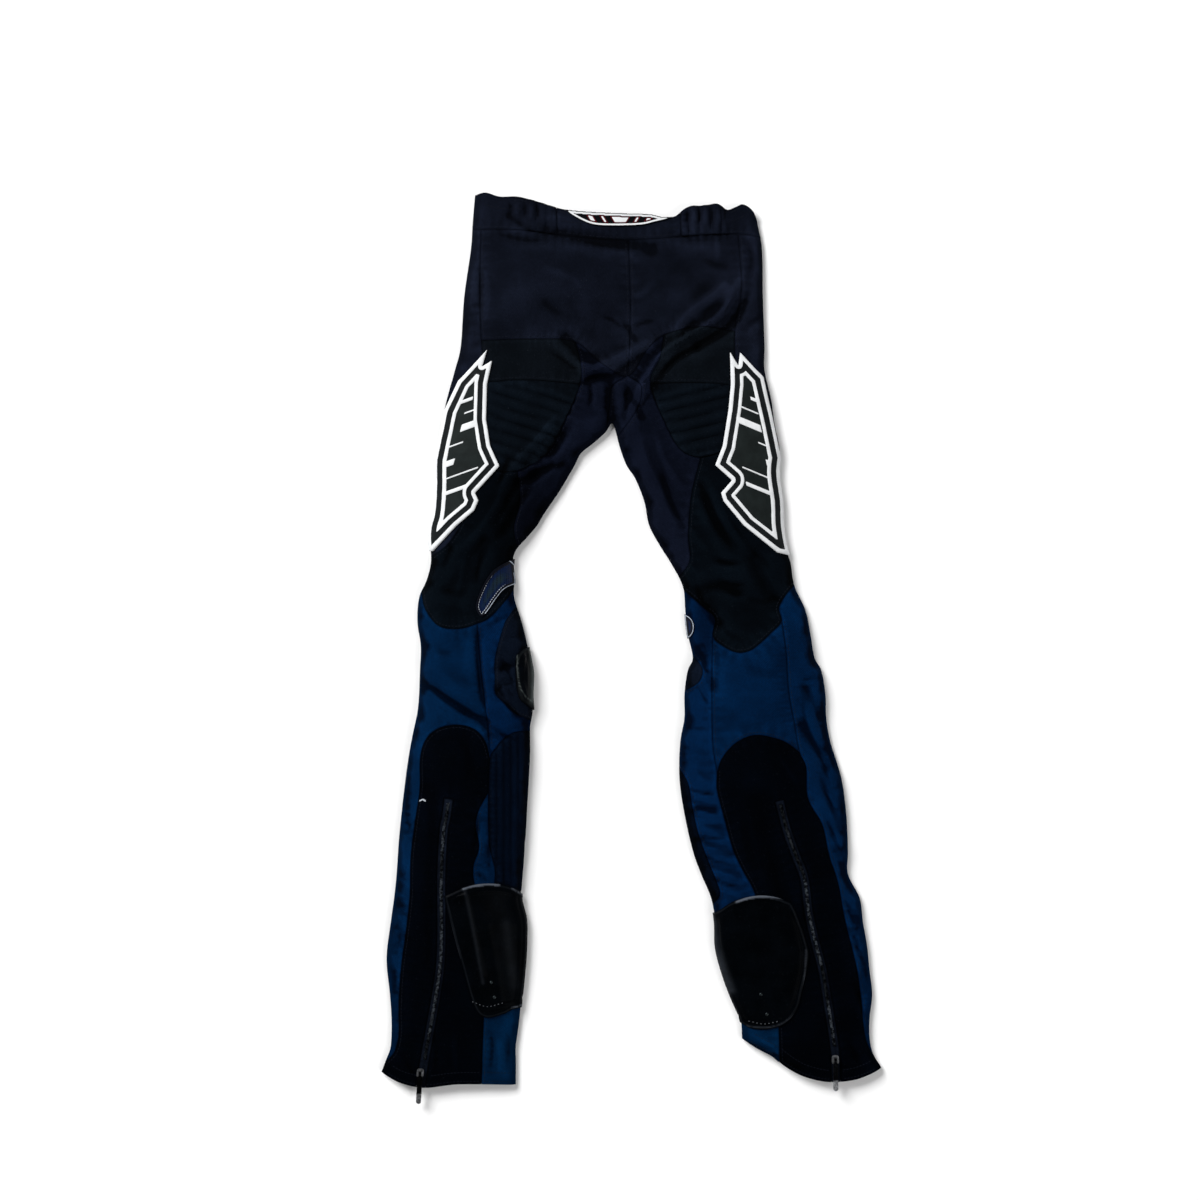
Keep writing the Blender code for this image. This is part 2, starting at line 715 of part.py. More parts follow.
def silhouette():
    """The edges of the flat garment in order round it, each with whether it is a closed side."""
    left, right, inner = SIDES
    waist = curve(WAIST, LINE_STEP)
    waist[0], waist[-1] = left[0], right[0]
    hem_right = curve(HEMS["right"], LINE_STEP)
    hem_left = curve(HEMS["left"], LINE_STEP)
    return [
        (False, waist), (True, right), (False, hem_right),
        (True, inner[::-1]), (False, hem_left), (True, left[::-1]),
    ]


def hex_points(step, lines, extra):
    """An even field of points over the garment, clear of the lines and of the extra points."""
    ends = np.vstack(lines)
    low, high = ends.min(0), ends.max(0)
    rows = []
    for k, y in enumerate(np.arange(low[1], high[1], step * math.sqrt(0.75))):
        for x in np.arange(low[0] + (k % 2) * step / 2.0, high[0], step):
            rows.append((x, y))
    field = np.array(rows)
    gap = np.sqrt(((field[:, None] - np.array(extra)[None]) ** 2).sum(2)).min(1)
    for line in lines:
        gap = np.minimum(gap, line_distance(field[:, 0], field[:, 1], line))
    return list(field[gap > FIELD_CLEAR * step])


def split_panels(faces, kind_of):
    """A label for each face: faces on one side of the seams share one."""
    owner = list(range(len(faces)))

    def find(i):
        while owner[i] != i:
            owner[i] = owner[owner[i]]
            i = owner[i]
        return i

    across = {}
    for i, face in enumerate(faces):
        for a, b in zip(face, np.roll(face, -1)):
            across.setdefault(tuple(sorted((int(a), int(b)))), []).append(i)
    for edge, pair in across.items():
        if len(pair) == 2 and kind_of.get(edge) != "seam":
            owner[find(pair[0])] = find(pair[1])
    return np.array([find(i) for i in range(len(faces))]), across


def face_at(verts, faces, point):
    """The face that a point lies in."""
    a, b, c = (verts[faces[:, i]] for i in range(3))
    p = np.array(point, float)

    def side(u, v):
        return (v[:, 0] - u[:, 0]) * (p[1] - u[:, 1]) - (v[:, 1] - u[:, 1]) * (p[0] - u[:, 0])

    worst = np.minimum.reduce([side(a, b), side(b, c), side(c, a)])
    return int(np.argmax(worst))


def rim_edges(faces):
    """The edges that only one of the faces has, in that face's direction."""
    seen = {(int(a), int(b)): None for face in faces for a, b in zip(face, np.roll(face, -1))}
    return [edge for edge in seen if (edge[1], edge[0]) not in seen]


def across_line(line):
    """The unit direction to the left of a line at each of its points."""
    run = np.gradient(line, axis=0)
    return np.column_stack([-run[:, 1], run[:, 0]]) / np.hypot(*run.T)[:, None]


def inset(verts, rim, moved, amount):
    """The flat points with the seam rims moved in, so that neighbours stay apart."""
    pushes = {}
    for a, b in rim:
        run = verts[b] - verts[a]
        normal = np.array([-run[1], run[0]]) / np.hypot(*run)
        want = amount if tuple(sorted((a, b))) in moved else 0.0
        for v in (a, b):
            pushes.setdefault(v, []).append((normal, want))
    out = verts.copy()
    for v, rules in pushes.items():
        if not any(want for _, want in rules):
            continue
        rows = np.array([normal for normal, _ in rules])
        shift = np.linalg.lstsq(rows, np.array([want for _, want in rules]), rcond=0.2)[0]
        longest = CORNER_REACH * amount
        if np.hypot(*shift) > longest:
            shift *= longest / np.hypot(*shift)
        out[v] = verts[v] + shift
    return out


def surface_normals(flat, field, rim_out):
    """Unit normals of a height field; at the closed sides they lie level and point out."""
    step = SLOPE_STEP
    x, y = flat[:, 0], flat[:, 1]
    slope_x = (field(x + step, y) - field(x - step, y)) / (2.0 * step)
    slope_y = (field(x, y + step) - field(x, y - step)) / (2.0 * step)
    normals = np.column_stack([-slope_x, -slope_y, np.ones(len(x))])
    normals /= np.linalg.norm(normals, axis=1)[:, None]
    for v, out in rim_out.items():
        normals[v] = (out[0], out[1], 0.0)
    return normals


def closed_wall(outer, inner, faces):
    """A closed mesh between an outer and an inner copy of the same faces.

    Rims that face each other across a seam are cut along the same diagonal, so they stay apart.
    """
    used = sorted({int(v) for face in faces for v in face})
    index = {v: i for i, v in enumerate(used)}
    count = len(used)
    points = np.vstack([outer[used], inner[used]])
    out = [tuple(index[int(v)] for v in face) for face in faces]
    out += [tuple(index[int(v)] + count for v in face[::-1]) for face in faces]
    for a, b in rim_edges(faces):
        a, b = index[a], index[b]
        low_a, low_b = a + count, b + count
        out += [(b, a, low_a), (b, low_a, low_b)] if a < b else [(b, a, low_b), (a, low_a, low_b)]
    return points, out


def material(name, rgb, roughness, metallic=0.0):
    """A plain finish from a named colour."""
    made = bpy.data.materials.get(name)
    if made is None:
        made = bpy.data.materials.new(name)
        made.use_nodes = True
        shader = made.node_tree.nodes["Principled BSDF"]
        shader.inputs["Base Color"].default_value = (*rgb, 1.0)
        shader.inputs["Roughness"].default_value = roughness
        shader.inputs["Metallic"].default_value = metallic
    return made


def add_object(name, points, faces, finish):
    """A named object from points in millimetres, at the garment's place, shaded smooth."""
    points = (np.array(points) - (CENTRE_X, CENTRE_Y, 0.0)) / 1000.0
    mesh = bpy.data.meshes.new(name)
    mesh.from_pydata([tuple(p) for p in points], [], faces)
    mesh.materials.append(material(finish, *FINISHES[finish]))
    mesh.shade_smooth()
    mesh.set_sharp_from_angle(angle=math.radians(40))
    made = bpy.data.objects.new(name, mesh)
    bpy.context.scene.collection.objects.link(made)
    return made


def side_outs(verts, loop):
    """The level outward direction at each net point on a closed side."""
    outs = {}
    for closed, line in loop:
        if not closed:
            continue
        near = line_distance(verts[:, 0], verts[:, 1], line) < 0.05
        a, ab = line[:-1], np.diff(line, axis=0)
        for v in np.nonzero(near)[0]:
            t = np.clip(((verts[v] - a) * ab).sum(1) / (ab**2).sum(1), 0.0, 1.0)
            away = np.hypot(*(a + t[:, None] * ab - verts[v]).T)
            touching = ab[away < 0.1]
            run = (touching / np.hypot(*touching.T)[:, None]).sum(0)
            outs[int(v)] = np.array([-run[1], run[0]]) / np.hypot(*run)
    return outs


def build_upper(loop):
    """The seat, the backs of the legs and what lies on them."""
    net = Net()
    for _, line in loop:
        net.add("open", line)
    for points in SEAMS.values():
        net.add_seam(points)
    for points in ZIPS.values():
        middle = curve(points, LINE_STEP)
        side = across_line(middle) * ZIP_TAPE_HALF
        net.add_seam(np.vstack([(middle - side)[::-1], middle + side]))
    outlines = {}
    for name, points in OUTLINES.items():
        ring = points + points[:1]
        outlines[name] = sharp_outline(ring) if name in SHARP else curve(ring, LINE_STEP)
        net.add("outline", outlines[name])
    boundary = np.vstack([line[:-1] for _, line in loop])
    lines = [points for _, points in net.lines]
    extra = rings(loop, EDGE_RINGS, lines[len(loop):]) + rib_rows(lines) + fold_points(lines)
    field = hex_points(TOP_STEP, lines, extra)
    verts, faces, kind_of = net.triangulate(extra + field, boundary)
    labels, across = split_panels(faces, kind_of)
    outs = side_outs(verts, loop)
    moved = {edge for edge, pair in across.items() if len(pair) == 2}
    normals = surface_normals(verts, height, outs)
    made = {}
    for name, (seed, finish) in PANELS.items():
        label = labels[face_at(verts, faces, seed)]
        own = faces[labels == label]
        made[name] = (label, own)
        rim = rim_edges(own)
        flat = inset(verts, rim, moved, SEAM_GAP / 2)
        base = np.column_stack([flat, height(flat[:, 0], flat[:, 1])])
        base[list(outs), 2] = SIDE_HEIGHT
        outer = base + normals * rib_relief(name, flat[:, 0], flat[:, 1])[:, None]
        add_object(name, *closed_wall(outer, base - normals * WALL, own), finish)
    missing = set(labels) - {label for label, _ in made.values()}
    if missing:
        spots = [np.round(verts[faces[labels == label]].mean((0, 1))).tolist() for label in missing]
        raise ValueError(f"panels with no name at {spots}")
    build_overlays(verts, faces, made, outlines, normals)


def build_overlays(verts, faces, made, outlines, normals):
    """Hard plates, guards and patches, made from the points of what they lie on, moved out."""
    middles = verts[faces].mean(1)
    base = np.column_stack([verts, height(verts[:, 0], verts[:, 1])])
    base[normals[:, 2] == 0.0, 2] = SIDE_HEIGHT
    rise = np.zeros(len(verts))
    for name, (label, own) in made.items():
        used = np.unique(own)
        rise[used] = np.maximum(rise[used], rib_relief(name, verts[used, 0], verts[used, 1]))
    for name, (edge_thick, full_thick, ramp, finish) in OVERLAYS.items():
        own = faces[within(middles, outlines[name])]
        away = line_distance(verts[:, 0], verts[:, 1], outlines[name])
        swell = np.sin(0.5 * np.pi * np.clip(away / ramp, 0.0, 1.0))
        thick = edge_thick + (full_thick - edge_thick) * swell
        low = base + normals * (rise + LIFT)[:, None]
        high = low + normals * thick[:, None]
        add_object(name, *closed_wall(high, low, own), finish)


def sharp_outline(ring):
    """A closed outline with true corners and points between them."""
    sides_of_ring = [curve(pair, SHARP_STEP)[:-1] for pair in zip(ring, ring[1:])]
    return np.vstack(sides_of_ring + [ring[-1:]])


def rings(loop, depths, lines):
    """Points on lines set in from the closed sides, so that the rolled edge is round."""
    found = []
    for closed, line in loop:
        if not closed:
            continue
        for depth in depths:
            ring = line[1:-1] - across_line(line)[1:-1] * depth
            clear = side_distance(ring[:, 0], ring[:, 1]) > 0.8 * depth
            for other in lines:
                clear &= line_distance(ring[:, 0], ring[:, 1], other) > RING_CLEAR
            found.extend(ring[clear])
    return found


def rib_rows(lines):
    """Rows of points along the crests and troughs of the ribbed panels."""
    found = []
    for x0, y0, x1, y1, pitch, _, margin, reach, spacing, rows in RIBS.values():
        length = math.hypot(x1 - x0, y1 - y0)
        along = np.array([x1 - x0, y1 - y0]) / length
        cross = np.array([-along[1], along[0]])
        for run in np.arange(pitch / rows, length - pitch / rows / 2, pitch / rows):
            for k in np.arange(-reach, reach, spacing):
                found.append(np.array([x0, y0]) + along * run + cross * k)
    found = np.array(found)
    keep = np.zeros(len(found), bool)
    for ring in RIB_RINGS.values():
        keep |= within(found, np.array(ring, float))
    for line in lines:
        keep &= line_distance(found[:, 0], found[:, 1], line) > RIB_CLEAR
    return list(found[keep])


def fold_points(lines):
    """Points along the crease lines, so that the net follows them."""
    found = []
    for x0, y0, x1, y1, x2, y2, width, _ in FOLDS:
        if width > WIDE_FOLD:
            continue
        line = curve([(x0, y0), (x1, y1), (x2, y2)], FOLD_STEP)
        for shift in (-width, 0.0, width):
            found.extend(line + across_line(line) * shift)
    found = np.array(found)
    keep = side_distance(found[:, 0], found[:, 1]) > FOLD_EDGE_CLEAR
    for line in lines:
        keep &= line_distance(found[:, 0], found[:, 1], line) > FOLD_CLEAR
    chosen = []
    for point in found[keep]:
        if all(np.hypot(*(point - other)) > FOLD_NEAR for other in chosen):
            chosen.append(point)
    return chosen


def build_tray(loop):
    """The front panels, flat on the surface."""
    net = Net()
    for _, line in loop:
        net.add("open", line)
    for points in TRAY_SEAMS.values():
        net.add_seam(points, TRAY_STEP)
    boundary = np.vstack([line[:-1] for _, line in loop])
    lines = [points for _, points in net.lines]
    extra = rings(loop, (TRAY_ROLL,), lines[len(loop):])
    field = hex_points(TRAY_STEP, lines, extra)
    verts, faces, kind_of = net.triangulate(extra + field, boundary)
    labels, across = split_panels(faces, kind_of)
    outs = side_outs(verts, loop)
    moved = {edge for edge, pair in across.items() if len(pair) == 2}
    normals = surface_normals(verts, tray_height, {v: -out for v, out in outs.items()})
    named = set()
    for name, (seed, finish) in TRAY_PANELS.items():
        label = labels[face_at(verts, faces, seed)]
        named.add(label)
        own = faces[labels == label]
        flat = inset(verts, rim_edges(own), moved, SEAM_GAP / 2)
        outer = np.column_stack([flat, tray_height(flat[:, 0], flat[:, 1])])
        add_object(name, *closed_wall(outer + normals * WALL, outer, own), finish)
    if set(labels) - named:
        spots = [np.round(verts[faces[labels == n]].mean((0, 1))).tolist() for n in set(labels) - named]
        raise ValueError(f"front panels with no name at {spots}")


def prism(name, profile, low, high, axis, finish):
    """A closed prism: a profile of points pushed out from low to high along x or z."""
    profile = np.array(profile, float)
    count = len(profile)
    points = []
    for level in (low, high):
        for a, b in profile:
            points.append((level, a, b) if axis == "x" else (a, b, level))
    faces = [tuple(range(count))[::-1], tuple(range(count, 2 * count))]
    for i in range(count):
        j = (i + 1) % count
        faces.append((i, j, j + count, i + count))
    mesh = bpy.data.meshes.new(name)
    mesh.from_pydata([tuple(c / 1000.0 for c in p) for p in points], [], faces)
    mesh.materials.append(material(finish, *FINISHES[finish]))
    made = bpy.data.objects.new(name, mesh)
    bpy.context.scene.collection.objects.link(made)
    return made


def arc(radius, start, end, count, middle=(0.0, 0.0)):
    """Points on an arc, its angles in degrees."""
    return [
        (middle[0] + radius * math.cos(math.radians(a)), middle[1] + radius * math.sin(math.radians(a)))
        for a in np.linspace(start, end, count)
    ]


def combine(body, other, operation):
    """Joins a helper shape to a body, or cuts it out, and keeps the helper out of sight."""
    modifier = body.modifiers.new(operation.title(), "BOOLEAN")
    modifier.operation = operation
    modifier.object = other
    other.hide_render = True
    other.display_type = "WIRE"
    other.parent = body


def slider(side):
    """A zip's slider: a rounded plate, two lugs and the pin between them."""
    half_long, half_wide = SLIDER_LENGTH / 2, SLIDER_WIDTH / 2
    outline = [
        (half_wide * math.copysign(abs(math.cos(t)) ** SLIDER_SQUARE, math.cos(t)),
         half_long * math.copysign(abs(math.sin(t)) ** SLIDER_SQUARE, math.sin(t)))
        for t in np.linspace(0.0, 2.0 * math.pi, 24, endpoint=False) + 0.01
    ]
    top = -PIVOT_RISE
    body = prism(f"zip_slider_{side}", outline, top - SLIDER_THICK, top, "z", "zip_metal")
    foot = top - LUG_SINK
    lug = [(-LUG_RADIUS, foot), (LUG_RADIUS, foot)] + arc(LUG_RADIUS, 0.0, 180.0, 9)
    inner = EYE_WIDTH / 2 + SEAM_GAP
    for sign in (-1.0, 1.0):
        low, high = sorted((sign * inner, sign * (inner + LUG_THICK)))
        ear = prism(f"guide_lug_{side}_{int(sign) + 1}", lug, low, high, "x", "zip_metal")
        combine(body, ear, "UNION")
    reach = inner + PIN_IN_LUG
    pin = prism(f"guide_pin_{side}", arc(PIN_RADIUS, 0.0, 330.0, 12), -reach, reach, "x", "zip_metal")
    combine(body, pin, "UNION")
    return body


def pull(side):
    """A zip's pull: an eye round the pin, a narrow neck and a long tab."""
    half = PULL_THICK / 2
    neck_end = -LUG_RADIUS - NECK_LENGTH
    profile = arc(EYE_RADIUS, 158.0, -158.0, 15) + [(neck_end, -half), (neck_end, half)]
    body = prism(f"zip_pull_{side}", profile[::-1], -EYE_WIDTH / 2, EYE_WIDTH / 2, "x", "zip_metal")
    width = PULL_WIDTH / 2
    tab_start = neck_end + NECK_OVERLAP
    end = -PULL_LENGTH + width
    tab = [(-width, tab_start)] + arc(width, 180.0, 360.0, 9, (0.0, end)) + [(width, tab_start)]
    combine(body, prism(f"guide_tab_{side}", tab, -half, half, "z", "zip_metal"), "UNION")
    bore = arc(EYE_BORE, 0.0, 337.5, 16)
    cutter = prism(f"guide_bore_{side}", bore, -EYE_WIDTH, EYE_WIDTH, "x", "zip_metal")
    combine(body, cutter, "DIFFERENCE")
    return body


def build_pulls():
    """Both sliders on their tapes at the hems, with their pulls hanging over the edge."""
    for side, ((x, y), direction, droop) in PULLS.items():
        turn = math.atan2(direction[0], -direction[1])
        spread = np.array([-0.5, 0.0, 0.5])
        foot_x, foot_y = np.meshgrid(x + spread * SLIDER_WIDTH, y + spread * SLIDER_LENGTH)
        top = height(foot_x, foot_y).max()
        rise = top + LIFT + SLIDER_THICK + PIVOT_RISE
        place = Vector(((x - CENTRE_X) / 1000.0, (y - CENTRE_Y) / 1000.0, rise / 1000.0))
        for made, tilt in ((slider(side), 0.0), (pull(side), math.radians(droop))):
            made.location = place
            made.rotation_euler = (tilt, 0.0, turn)


def main():
    for old in list(bpy.data.objects):
        bpy.data.objects.remove(old, do_unlink=True)
    loop = silhouette()
    build_upper(loop)
    build_tray(loop)
    build_pulls()


SIDES = sides()
main()
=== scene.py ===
"""The looks of motorcycle trousers laid flat, seat side up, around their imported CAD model.

The tables are in millimetres: x to the right, y towards the waist, z up from the surface.
The cloth panels are cut from one fine triangle net, as the CAD panels are from a coarse one.
"""

import math

import bpy
import numpy as np
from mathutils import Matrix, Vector, kdtree, noise
from mathutils.geometry import delaunay_2d_cdt


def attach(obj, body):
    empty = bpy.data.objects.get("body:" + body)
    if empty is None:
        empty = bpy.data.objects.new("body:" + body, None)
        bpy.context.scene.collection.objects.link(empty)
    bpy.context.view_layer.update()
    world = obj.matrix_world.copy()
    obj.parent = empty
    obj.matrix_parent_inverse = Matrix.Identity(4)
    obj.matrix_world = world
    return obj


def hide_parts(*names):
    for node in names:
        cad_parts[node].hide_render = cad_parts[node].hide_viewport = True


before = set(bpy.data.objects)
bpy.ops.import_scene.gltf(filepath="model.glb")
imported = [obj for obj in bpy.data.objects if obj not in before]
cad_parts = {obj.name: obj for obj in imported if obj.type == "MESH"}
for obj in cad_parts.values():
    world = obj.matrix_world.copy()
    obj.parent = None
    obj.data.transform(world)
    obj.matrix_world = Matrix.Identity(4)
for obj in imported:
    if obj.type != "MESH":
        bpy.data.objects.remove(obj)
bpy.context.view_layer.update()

# Sizes shared with the CAD model, in millimetres
WALL = 2.0
SEAM_GAP = 0.3
LIFT = 0.45
SIDE_HEIGHT = 5.0
EDGE_HEIGHT = 10.0
EDGE_ROLL = 12.0
DOME_FULLNESS = 0.7
TRAY_ROLL = 5.0
TRAY_TURN = 2.2
CROTCH_X = -22.0
CROTCH_Y = 268.0
LEG_START_Y = 330.0
LEG_FULL_Y = 235.0
ZIP_TAPE_HALF = 5.5
CENTRE_X = 0.5
CENTRE_Y = -1.84
SECTION_CLEAR = 5.0
JOIN_NEAR = 1.2

# Spacing of the fine net, in millimetres
LINE_STEP = 3.6
FIELD_STEP = 3.6
TRAY_STEP = 8.0
SLIVER_FACES = 60
FOLD_ROUNDS = 22
FOLD_TAPER = 0.4
CREASE_STEP = 4.0
CREASE_REACH = 3.0
SIDE_RINGS = (0.5, 1.4, 3.0, 5.6, 9.0)
SEAM_DIP = 0.65
SEAM_REACH = 2.4
PUCKER = 0.34
PUCKER_REACH = 11.0
COVER_FADE = 4.0
FAR_MM = 20.0
UNEVENNESS = ((0.55, 42.0, 3.1), (0.22, 15.0, 8.7))
TRAY_RINGS = (0.8, 2.2, TRAY_ROLL)

# Sections across the hips and each leg: height up the garment, left edge, right edge, height at the crown
TORSO = [
    (548, -186, 151, 12), (505, -190, 152, 17), (476, -192, 157, 20), (419, -200, 158, 23),
    (361, -204, 160, 25), (304, -220, 167, 26), (248, -229, 175, 26),
]
LEFT_LEG = [
    (332, -211, -22, 24), (296, -221, -22, 25), (268, -227, -22, 26), (258, -229, -30, 26),
    (246, -230, -43, 26), (232, -233, -60, 27), (217, -234, -68, 27), (188, -234, -85, 28),
    (160, -236, -104, 29), (145, -240, -113, 29), (131, -241, -125, 30), (116, -240, -138, 31),
    (100, -240, -142, 32), (80, -245, -140, 33), (59, -254, -140, 35), (30, -256, -131, 39),
    (1, -252, -124, 42), (-28, -253, -119, 44), (-56, -254, -119, 44), (-78, -256, -118, 43),
    (-97, -260, -121, 42), (-128, -266, -121, 42), (-172, -272, -124, 41), (-229, -278, -127, 40),
    (-272, -281, -131, 38), (-301, -284, -132, 36), (-330, -288, -126, 33), (-373, -293, -127, 28),
    (-416, -289, -131, 22), (-448, -287, -134, 18), (-478, -288, -138, 17), (-493, -293, -138, 16),
    (-508, -299, -138, 15), (-532, -299, -138, 15),
]
RIGHT_LEG = [
    (332, -22, 160, 24), (296, -22, 168, 25), (268, -22, 172, 26), (238, -13, 178, 27),
    (217, -5, 176, 27), (202, 5, 176, 28), (174, 16, 180, 29), (145, 22, 181, 30), (116, 38, 186, 31),
    (102, 47, 191, 32), (73, 62, 196, 34), (44, 65, 209, 36), (16, 68, 215, 40), (-13, 74, 220, 43),
    (-28, 68, 228, 44), (-56, 64, 233, 44), (-85, 64, 234, 43), (-114, 59, 239, 42),
    (-157, 58, 252, 42), (-200, 64, 258, 41), (-244, 74, 260, 39), (-272, 84, 260, 38),
    (-301, 96, 274, 36), (-330, 101, 278, 33), (-359, 102, 283, 30), (-388, 109, 286, 27),
    (-416, 119, 289, 23), (-445, 131, 286, 19), (-469, 134, 286, 18), (-487, 145, 290, 16),
    (-504, 152, 300, 15), (-532, 164, 300, 15),
]

# The waist's top edge, and the hems from one corner to the other
WAIST = [
    (-187, 541), (-174, 544), (-157, 539), (-136, 539), (-116, 534), (-97, 528), (-78, 523),
    (-49, 520), (-4, 518), (23, 517), (37, 514), (52, 515), (61, 522), (70, 527), (86, 528),
    (104, 530), (114, 523), (124, 526), (134, 530), (145, 523), (151, 511),
]
HEMS = {
    "left": [(-138, -524), (-172, -523), (-210, -523), (-248, -527), (-277, -521), (-299, -509)],
    "right": [
        (300, -504), (284, -512), (265, -518), (236, -520), (208, -514), (188, -504), (169, -490),
        (150, -480), (133, -469),
    ],
}

# Seams of the seat and the backs of the legs, each set on the lines above it
SEAMS = {
    "waist_seam": [
        (-191, 500), (-133, 499), (-85, 493), (-31, 487), (23, 488), (83, 493), (131, 494), (155, 491),
    ],
    "elastic_left": [(-90, 527), (-88, 493)],
    "elastic_right": [(58, 520), (60, 491)],
    "side_seam_left": [
        (-179, 499), (-181, 428), (-179, 366), (-175, 316), (-181, 260), (-186, 222), (-199, 158),
        (-217, 125), (-240, 108),
    ],
    "side_seam_right": [
        (128, 494), (132, 428), (124, 378), (126, 313), (132, 245), (145, 176), (162, 134), (187, 113),
    ],
    "seat_hem": [
        (-179, 366), (-121, 368), (-68, 365), (-37, 340), (-4, 324), (18, 354), (40, 373), (83, 383),
        (124, 378),
    ],
    "seat_seam": [(-4, 487), (-1, 416), (-2, 356), (-4, 324)],
    "stretch_edge_left": [
        (-68, 365), (-61, 342), (-61, 314), (-79, 272), (-103, 230), (-136, 211), (-160, 211),
        (-186, 222),
    ],
    "stretch_edge_right": [
        (40, 373), (34, 344), (23, 314), (44, 260), (61, 234), (83, 227), (109, 234), (132, 245),
    ],
    "pad_seam_left": [(-175, 316), (-121, 319), (-61, 314)],
    "pad_seam_right": [(23, 314), (71, 316), (126, 313)],
    "gusset_left": [(-4, 324), (-23, 311), (-26, 287), (-30, 259)],
    "gusset_right": [(-4, 324), (12, 311), (7, 284), (-16, 251)],
    "inner_seam_left": [(-136, 211), (-133, 176), (-140, 143), (-136, 118)],
    "inner_seam_right": [(83, 227), (72, 182), (68, 134), (70, 104), (59, 84)],
    "scallop_left": [
        (-253, 68), (-247, 48), (-236, 31), (-226, 24), (-212, 22), (-199, 23), (-184, 28), (-169, 35),
        (-152, 53), (-138, 70),
    ],
    "shin_edge_left": [
        (-119, -101), (-137, -101), (-151, -108), (-161, -120), (-168, -132), (-170, -173),
        (-169, -234), (-162, -268), (-167, -310), (-172, -376), (-176, -438), (-179, -523),
    ],
    "knee_edge_left": [
        (-136, 48), (-149, 32), (-157, 7), (-162, -16), (-162, -35), (-161, -55), (-150, -67),
        (-138, -79), (-116, -89),
    ],
    "back_seam_left": [(-184, 28), (-181, -4), (-176, -52), (-170, -100), (-168, -132)],
    "calf_edge_left": [
        (-168, -132), (-173, -113), (-185, -98), (-205, -92), (-226, -95), (-239, -103), (-248, -116),
        (-252, -136), (-252, -168), (-257, -203), (-263, -250), (-264, -295), (-269, -341),
        (-275, -384), (-278, -430), (-278, -464), (-283, -484), (-298, -496),
    ],
    "calf_wedge_left": [
        (-170, -173), (-181, -193), (-185, -212), (-181, -238), (-188, -262), (-184, -289),
        (-167, -310),
    ],
    "hem_seam_left": [(-175, -420), (-154, -422), (-131, -419)],
    "scallop_right": [
        (64, 68), (85, 49), (100, 34), (97, 13), (110, 1), (126, -6), (140, -4), (152, 4), (166, 17),
        (179, 31), (176, 47), (186, 64), (194, 74),
    ],
    "calf_inner_right": [
        (97, 13), (96, -40), (97, -112), (102, -148), (102, -169), (112, -208), (121, -240),
        (132, -264), (146, -290), (157, -328), (169, -388), (176, -452), (178, -496),
    ],
    "calf_outer_right": [
        (179, 31), (184, -4), (187, -52), (194, -90), (200, -124), (208, -142), (209, -174),
        (216, -192), (228, -212), (236, -248), (247, -281), (254, -320), (262, -352), (270, -385),
        (275, -420), (281, -469), (299, -498),
    ],
    "calf_arch_right": [
        (102, -148), (108, -132), (121, -116), (136, -107), (150, -104), (167, -107), (184, -113),
        (200, -124),
    ],
    "hem_seam_right": [(119, -425), (149, -439), (175, -436)],
    "knee_edge_right": [(73, -11), (85, -26), (80, -42), (62, -53)],
    "shin_edge_right": [
        (56, -145), (68, -163), (73, -191), (80, -222), (91, -253), (102, -280), (106, -295),
        (96, -310),
    ],
}

# The middles of the ankle zips, from the top end to the hem
ZIPS = {
    "zip_left": [
        (-217, -180), (-220, -203), (-223, -218), (-226, -272), (-226, -343), (-228, -382),
        (-233, -416), (-239, -450), (-246, -488), (-252, -526),
    ],
    "zip_right": [
        (176, -182), (185, -217), (196, -248), (206, -275), (211, -314), (218, -346), (228, -385),
        (234, -420), (240, -456), (244, -487), (245, -518),
    ],
}

# Outlines of the plates, guards and patches; where they pass the side edge the cloth's edge ends them
OUTLINES = {
    "hip_plate_left": [
        (-172, 355), (-178, 335), (-166, 342), (-172, 314), (-173, 272), (-168, 240), (-157, 216),
        (-186, 184), (-182, 175), (-187, 163), (-208, 145), (-236, 115), (-253, 115), (-253, 152),
        (-242, 176), (-235, 218), (-222, 283), (-206, 318),
    ],
    "hip_plate_right": [
        (118, 352), (128, 336), (130, 352), (157, 323), (167, 278), (178, 224), (193, 176), (193, 109),
        (174, 113), (134, 145), (110, 174), (107, 184), (120, 199), (100, 217), (109, 240), (116, 283),
        (119, 314),
    ],
    "ankle_guard_left": [
        (-222, -296), (-196, -284), (-173, -281), (-154, -283), (-137, -290), (-128, -301),
        (-109, -317), (-109, -424), (-132, -431), (-142, -433), (-152, -438), (-174, -442),
        (-188, -427), (-203, -373), (-210, -347), (-218, -313),
    ],
    "ankle_guard_right": [
        (88, -322), (102, -317), (124, -302), (155, -295), (184, -301), (194, -311), (208, -350),
        (211, -371), (204, -407), (198, -431), (184, -449), (166, -456), (146, -456), (132, -449),
        (116, -438), (83, -412),
    ],
    "knee_cup_left": [
        (-103, 2), (-126, -1), (-137, -11), (-138, -34), (-136, -54), (-128, -67), (-103, -77),
    ],
    "pod_left": [
        (-127, 113), (-157, 97), (-169, 86), (-179, 68), (-185, 49), (-179, 37), (-172, 42),
        (-160, 60), (-150, 71), (-127, 84),
    ],
    "pod_right": [(54, 44), (71, 36), (76, 25), (72, 13), (54, 4)],
    "waist_patch": [
        (-83, 536), (-78, 523), (-67, 514), (-47, 505), (-23, 503), (11, 504), (29, 508), (44, 512),
        (56, 520), (56, 536),
    ],
}

